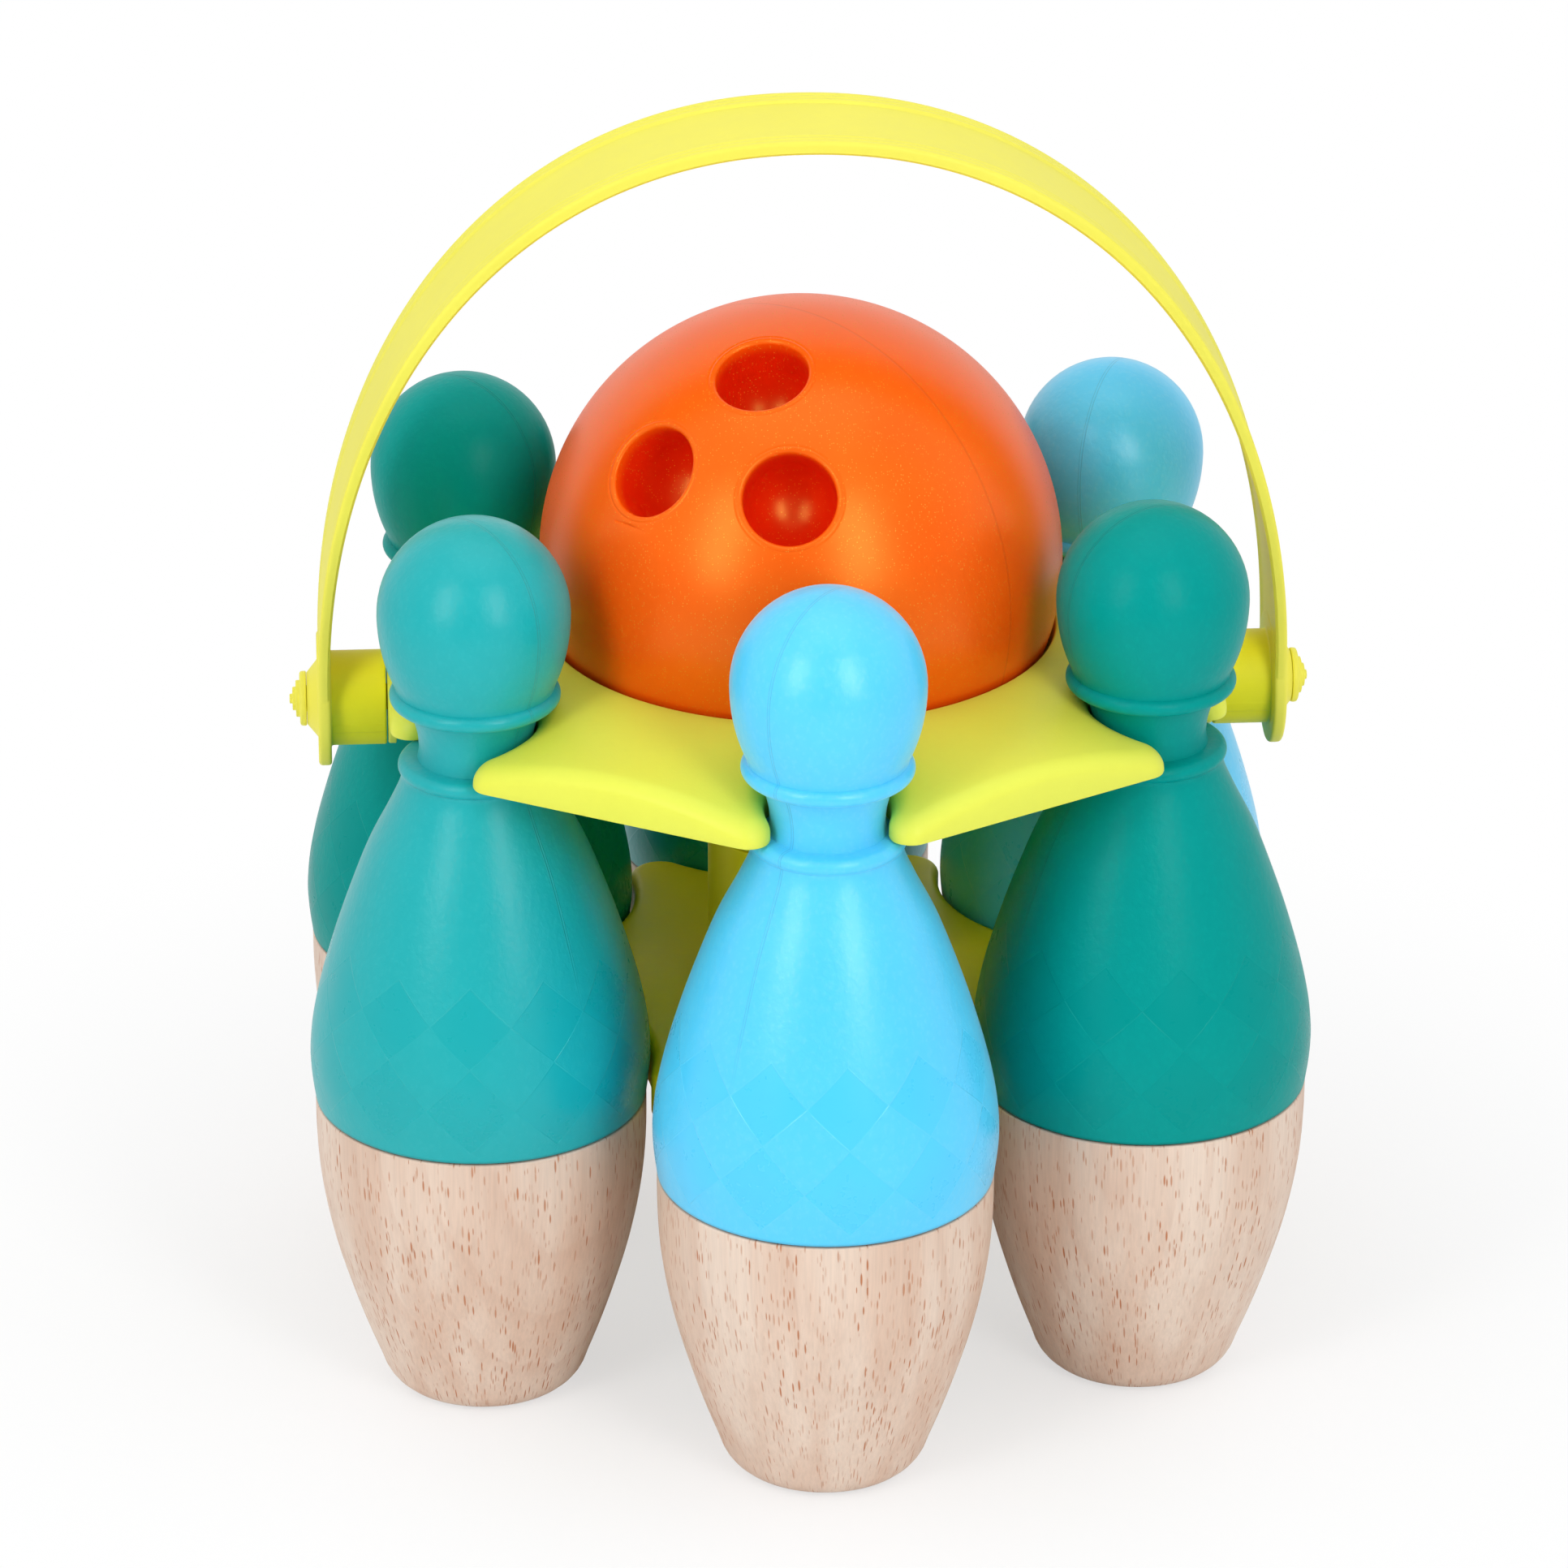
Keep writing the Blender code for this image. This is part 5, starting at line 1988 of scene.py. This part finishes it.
@dataclass(frozen=True)
class Studio:
    """The camera at the photograph's view, soft lamps, a white surround and a pale floor.

    The camera's angles are its azimuth, its fall below level and its roll, in degrees. The shadow
    reach is the distances between which the floor turns fully white for the camera.
    """

    aim: Sequence[float] = (-0.00375, 0.0003, 0.1314)
    distance: float = 1.7375
    azimuth: float = -3.893
    fall: float = 24.66
    roll: float = -0.20
    focal_length: float = 8948.0
    frame_width: float = 1932.0
    sensor: float = 36.0
    clip: Point = (0.05, 20.0)
    floor_radius: float = 3.0
    shadow_reach: Point = (0.10, 0.30)
    front_light: float = 0.25
    back_light: float = 0.85
    front_shine: float = 0.5
    lamps: Sequence[Lamp] = (
        Lamp("left softbox", -37, 29, (0.25, 0.65), 5.7),
        Lamp("right softbox", 27, 29, (0.25, 0.65), 6.2),
        Lamp("overhead softbox", 0, 84, (0.8, 0.8), 0.7),
    )

    def direction(self, across: float, rise: float) -> Vector:
        """Direction from the set to a place seen from the camera's side, by angles in degrees."""
        turn, up = radians(-90 + self.azimuth + across), radians(rise)
        return Vector((cos(up) * cos(turn), cos(up) * sin(turn), sin(up)))

    def camera(self) -> None:
        """Adds the camera."""
        back = self.direction(0, self.fall)
        right = Vector((cos(radians(self.azimuth)), sin(radians(self.azimuth)), 0))
        up = back.cross(right)
        turn = radians(self.roll)
        rolled = right * cos(turn) - up * sin(turn), right * sin(turn) + up * cos(turn)
        matrix = Matrix((*rolled, back)).transposed().to_4x4()
        matrix.translation = Vector(self.aim) + back * self.distance
        data = bpy.data.cameras.new("camera")
        data.sensor_fit = "HORIZONTAL"
        data.sensor_width = self.sensor
        data.lens = self.focal_length * self.sensor / self.frame_width
        data.clip_start, data.clip_end = self.clip
        camera = show("camera", data)
        camera.matrix_world = matrix
        bpy.context.scene.camera = camera

    def light(self, lamp: Lamp) -> None:
        """Adds a lamp.

        Args:
            lamp: the lamp.
        """
        data = bpy.data.lights.new(lamp.name, "AREA")
        data.shape, data.size, data.size_y = "RECTANGLE", *lamp.size
        data.energy = lamp.strength * pi * lamp.size[0] * lamp.size[1]
        back = self.direction(lamp.across, lamp.rise)
        turn = back.to_track_quat("Z", "Y").to_matrix().to_4x4()
        show(lamp.name, data).matrix_world = Matrix.Translation(Vector(self.aim) + back * lamp.away) @ turn

    def surround(self) -> None:
        """Makes the world: white to the camera, and softer light from the side where the lamps stand.

        Reflections of that side are brighter than the light it gives, as from a white room.
        """
        world = bpy.data.worlds.new("studio")
        world.use_nodes = True
        bpy.context.scene.world = world
        world.node_tree.nodes.clear()
        graph = Graph(world.node_tree)
        path = graph.outputs(graph.node("ShaderNodeLightPath"))
        seen = graph.math("MAXIMUM", path["Is Camera Ray"], path["Is Transmission Ray"])
        way = graph.add("ShaderNodeTexCoord", output="Generated")
        ahead = graph.vector("DOT_PRODUCT", way, self.direction(0, 0), output="Value")
        level = graph.step(ahead, 0.0, 0.75, self.back_light, self.front_light)
        shine = graph.step(ahead, 0.0, 0.5, 1.0, self.front_shine)
        level = level + path["Is Glossy Ray"] * (shine - level)
        soft = graph.add("ShaderNodeBackground", {"Color": WHITE, "Strength": level})
        white = graph.add("ShaderNodeBackground", {"Color": WHITE, "Strength": 1.0})
        both = graph.add("ShaderNodeMixShader", {0: seen, 1: soft, 2: white})
        graph.node("ShaderNodeOutputWorld", {0: both})

    def floor(self) -> None:
        """Lays a round pale floor that keeps the set's shadow."""
        paint = Paint("studio floor", (0.9, 0.9, 0.9))
        tone = paint.step(paint.noise(paint.place, 0.4), 0.3, 0.7, 0.90, 0.93)
        base = {"Base Color": paint.join(tone, tone, tone), "Roughness": 0.6, "Specular IOR Level": 0.2}
        material = paint.done(base)
        seen = paint.add("ShaderNodeLightPath", output="Is Camera Ray")
        reach = paint.vector("LENGTH", paint.place, output="Value")
        clear = paint.step(reach, *self.shadow_reach, 0.62, 1.0) * seen
        glow = paint.add("ShaderNodeEmission", {"Color": WHITE, "Strength": 1.0})
        plain = paint.outputs(paint.shader)["BSDF"]
        both = paint.add("ShaderNodeMixShader", {0: clear, 1: plain, 2: glow})
        paint.feed(paint.tree.nodes["Material Output"], {"Surface": both})
        bm = bmesh.new()
        bmesh.ops.create_circle(bm, cap_ends=True, segments=96, radius=self.floor_radius)
        mesh = baked(bm, "studio_floor")
        mesh.materials.append(material)
        show("studio_floor", mesh)

    def build(self) -> None:
        """Sets the stage."""
        bpy.context.scene.view_settings.view_transform = "Standard"
        self.camera()
        self.surround()
        self.floor()
        for lamp in self.lamps:
            self.light(lamp)


# The set


# Plastics: colour; paler colour for the grain's tone, painted sheen and painted edge highlights; deeper
# colour for painted shade at the lower edge and for the seam lines; shine; haze.
SKY = ((0.060, 0.620, 1.0), (0.150, 0.680, 1.0), (0.02, 0.25, 0.42), 0.6, 0.20)
TEAL = ((0.005, 0.405, 0.430), (0.024, 0.460, 0.480), (0.004, 0.15, 0.16), 0.3, 0.04)
GREEN = ((0.0001, 0.300, 0.275), (0.0005, 0.350, 0.315), (0.0001, 0.09, 0.08), 0.07, 0.0)
LOOKS = (
    PinLook(Slot.SKY, *SKY, -131, 20, 0.10),
    PinLook(Slot.GREEN, *GREEN, -157, 75, -0.14),
    PinLook(Slot.SKY, *SKY, -116, 130, 0.08),
    PinLook(Slot.TEAL, *TEAL, -60, 200, 0.12),
    PinLook(Slot.GREEN, *GREEN, -41, 260, -0.10),
    PinLook(Slot.TEAL, *TEAL, -50, 310, 0.16),
)
LIME = LimeFinish("lime plastic", (0.80, 0.84, 0.09), (0.79, 0.79, 0.045))
# Painted shade: the lime plastic again, tinted deeper amber for the stand, which sits in shade between the
# pins.
SHADE_TINTED_LIME = LimeFinish("stand plastic", (0.98, 0.77, 0.005), (0.92, 0.71, 0.004))
HUB_BAND = (0.1522, 0.1549, 0.0986, 0.1112)
PALE_LIME = LimeFinish("handle plastic", (0.89, 0.83, 0.095), (0.84, 0.77, 0.05), 0.5, HUB_BAND)


def main() -> None:
    """Builds the set and reports each piece's faces and material."""
    logging.basicConfig(level=logging.INFO, format="%(name)s: %(message)s")
    shop = Workshop(turned_tree(), circle_tree(), arch_tree())
    effects = Effects()
    lime, shade_tinted_lime, pale_lime = (finish.make(effects) for finish in (LIME, SHADE_TINTED_LIME, PALE_LIME))
    steel = SteelFinish().make(effects)
    pivot = Pivot()
    pieces = PinSet(LOOKS).build(shop, effects)
    pieces += Ball().build(effects)
    pieces += Tray().build(shop, pivot, lime)
    pieces += Stand().build(shop, shade_tinted_lime, steel)
    pieces += Handle().build(shop, pivot, pale_lime)
    pieces += pivot.build(shop, pale_lime)
    for piece in pieces:
        LOG.info("%s: %d faces, %s", piece.name, len(piece.data.polygons), piece.active_material.name)
    Studio().build()


if __name__ == "__main__":
    main()
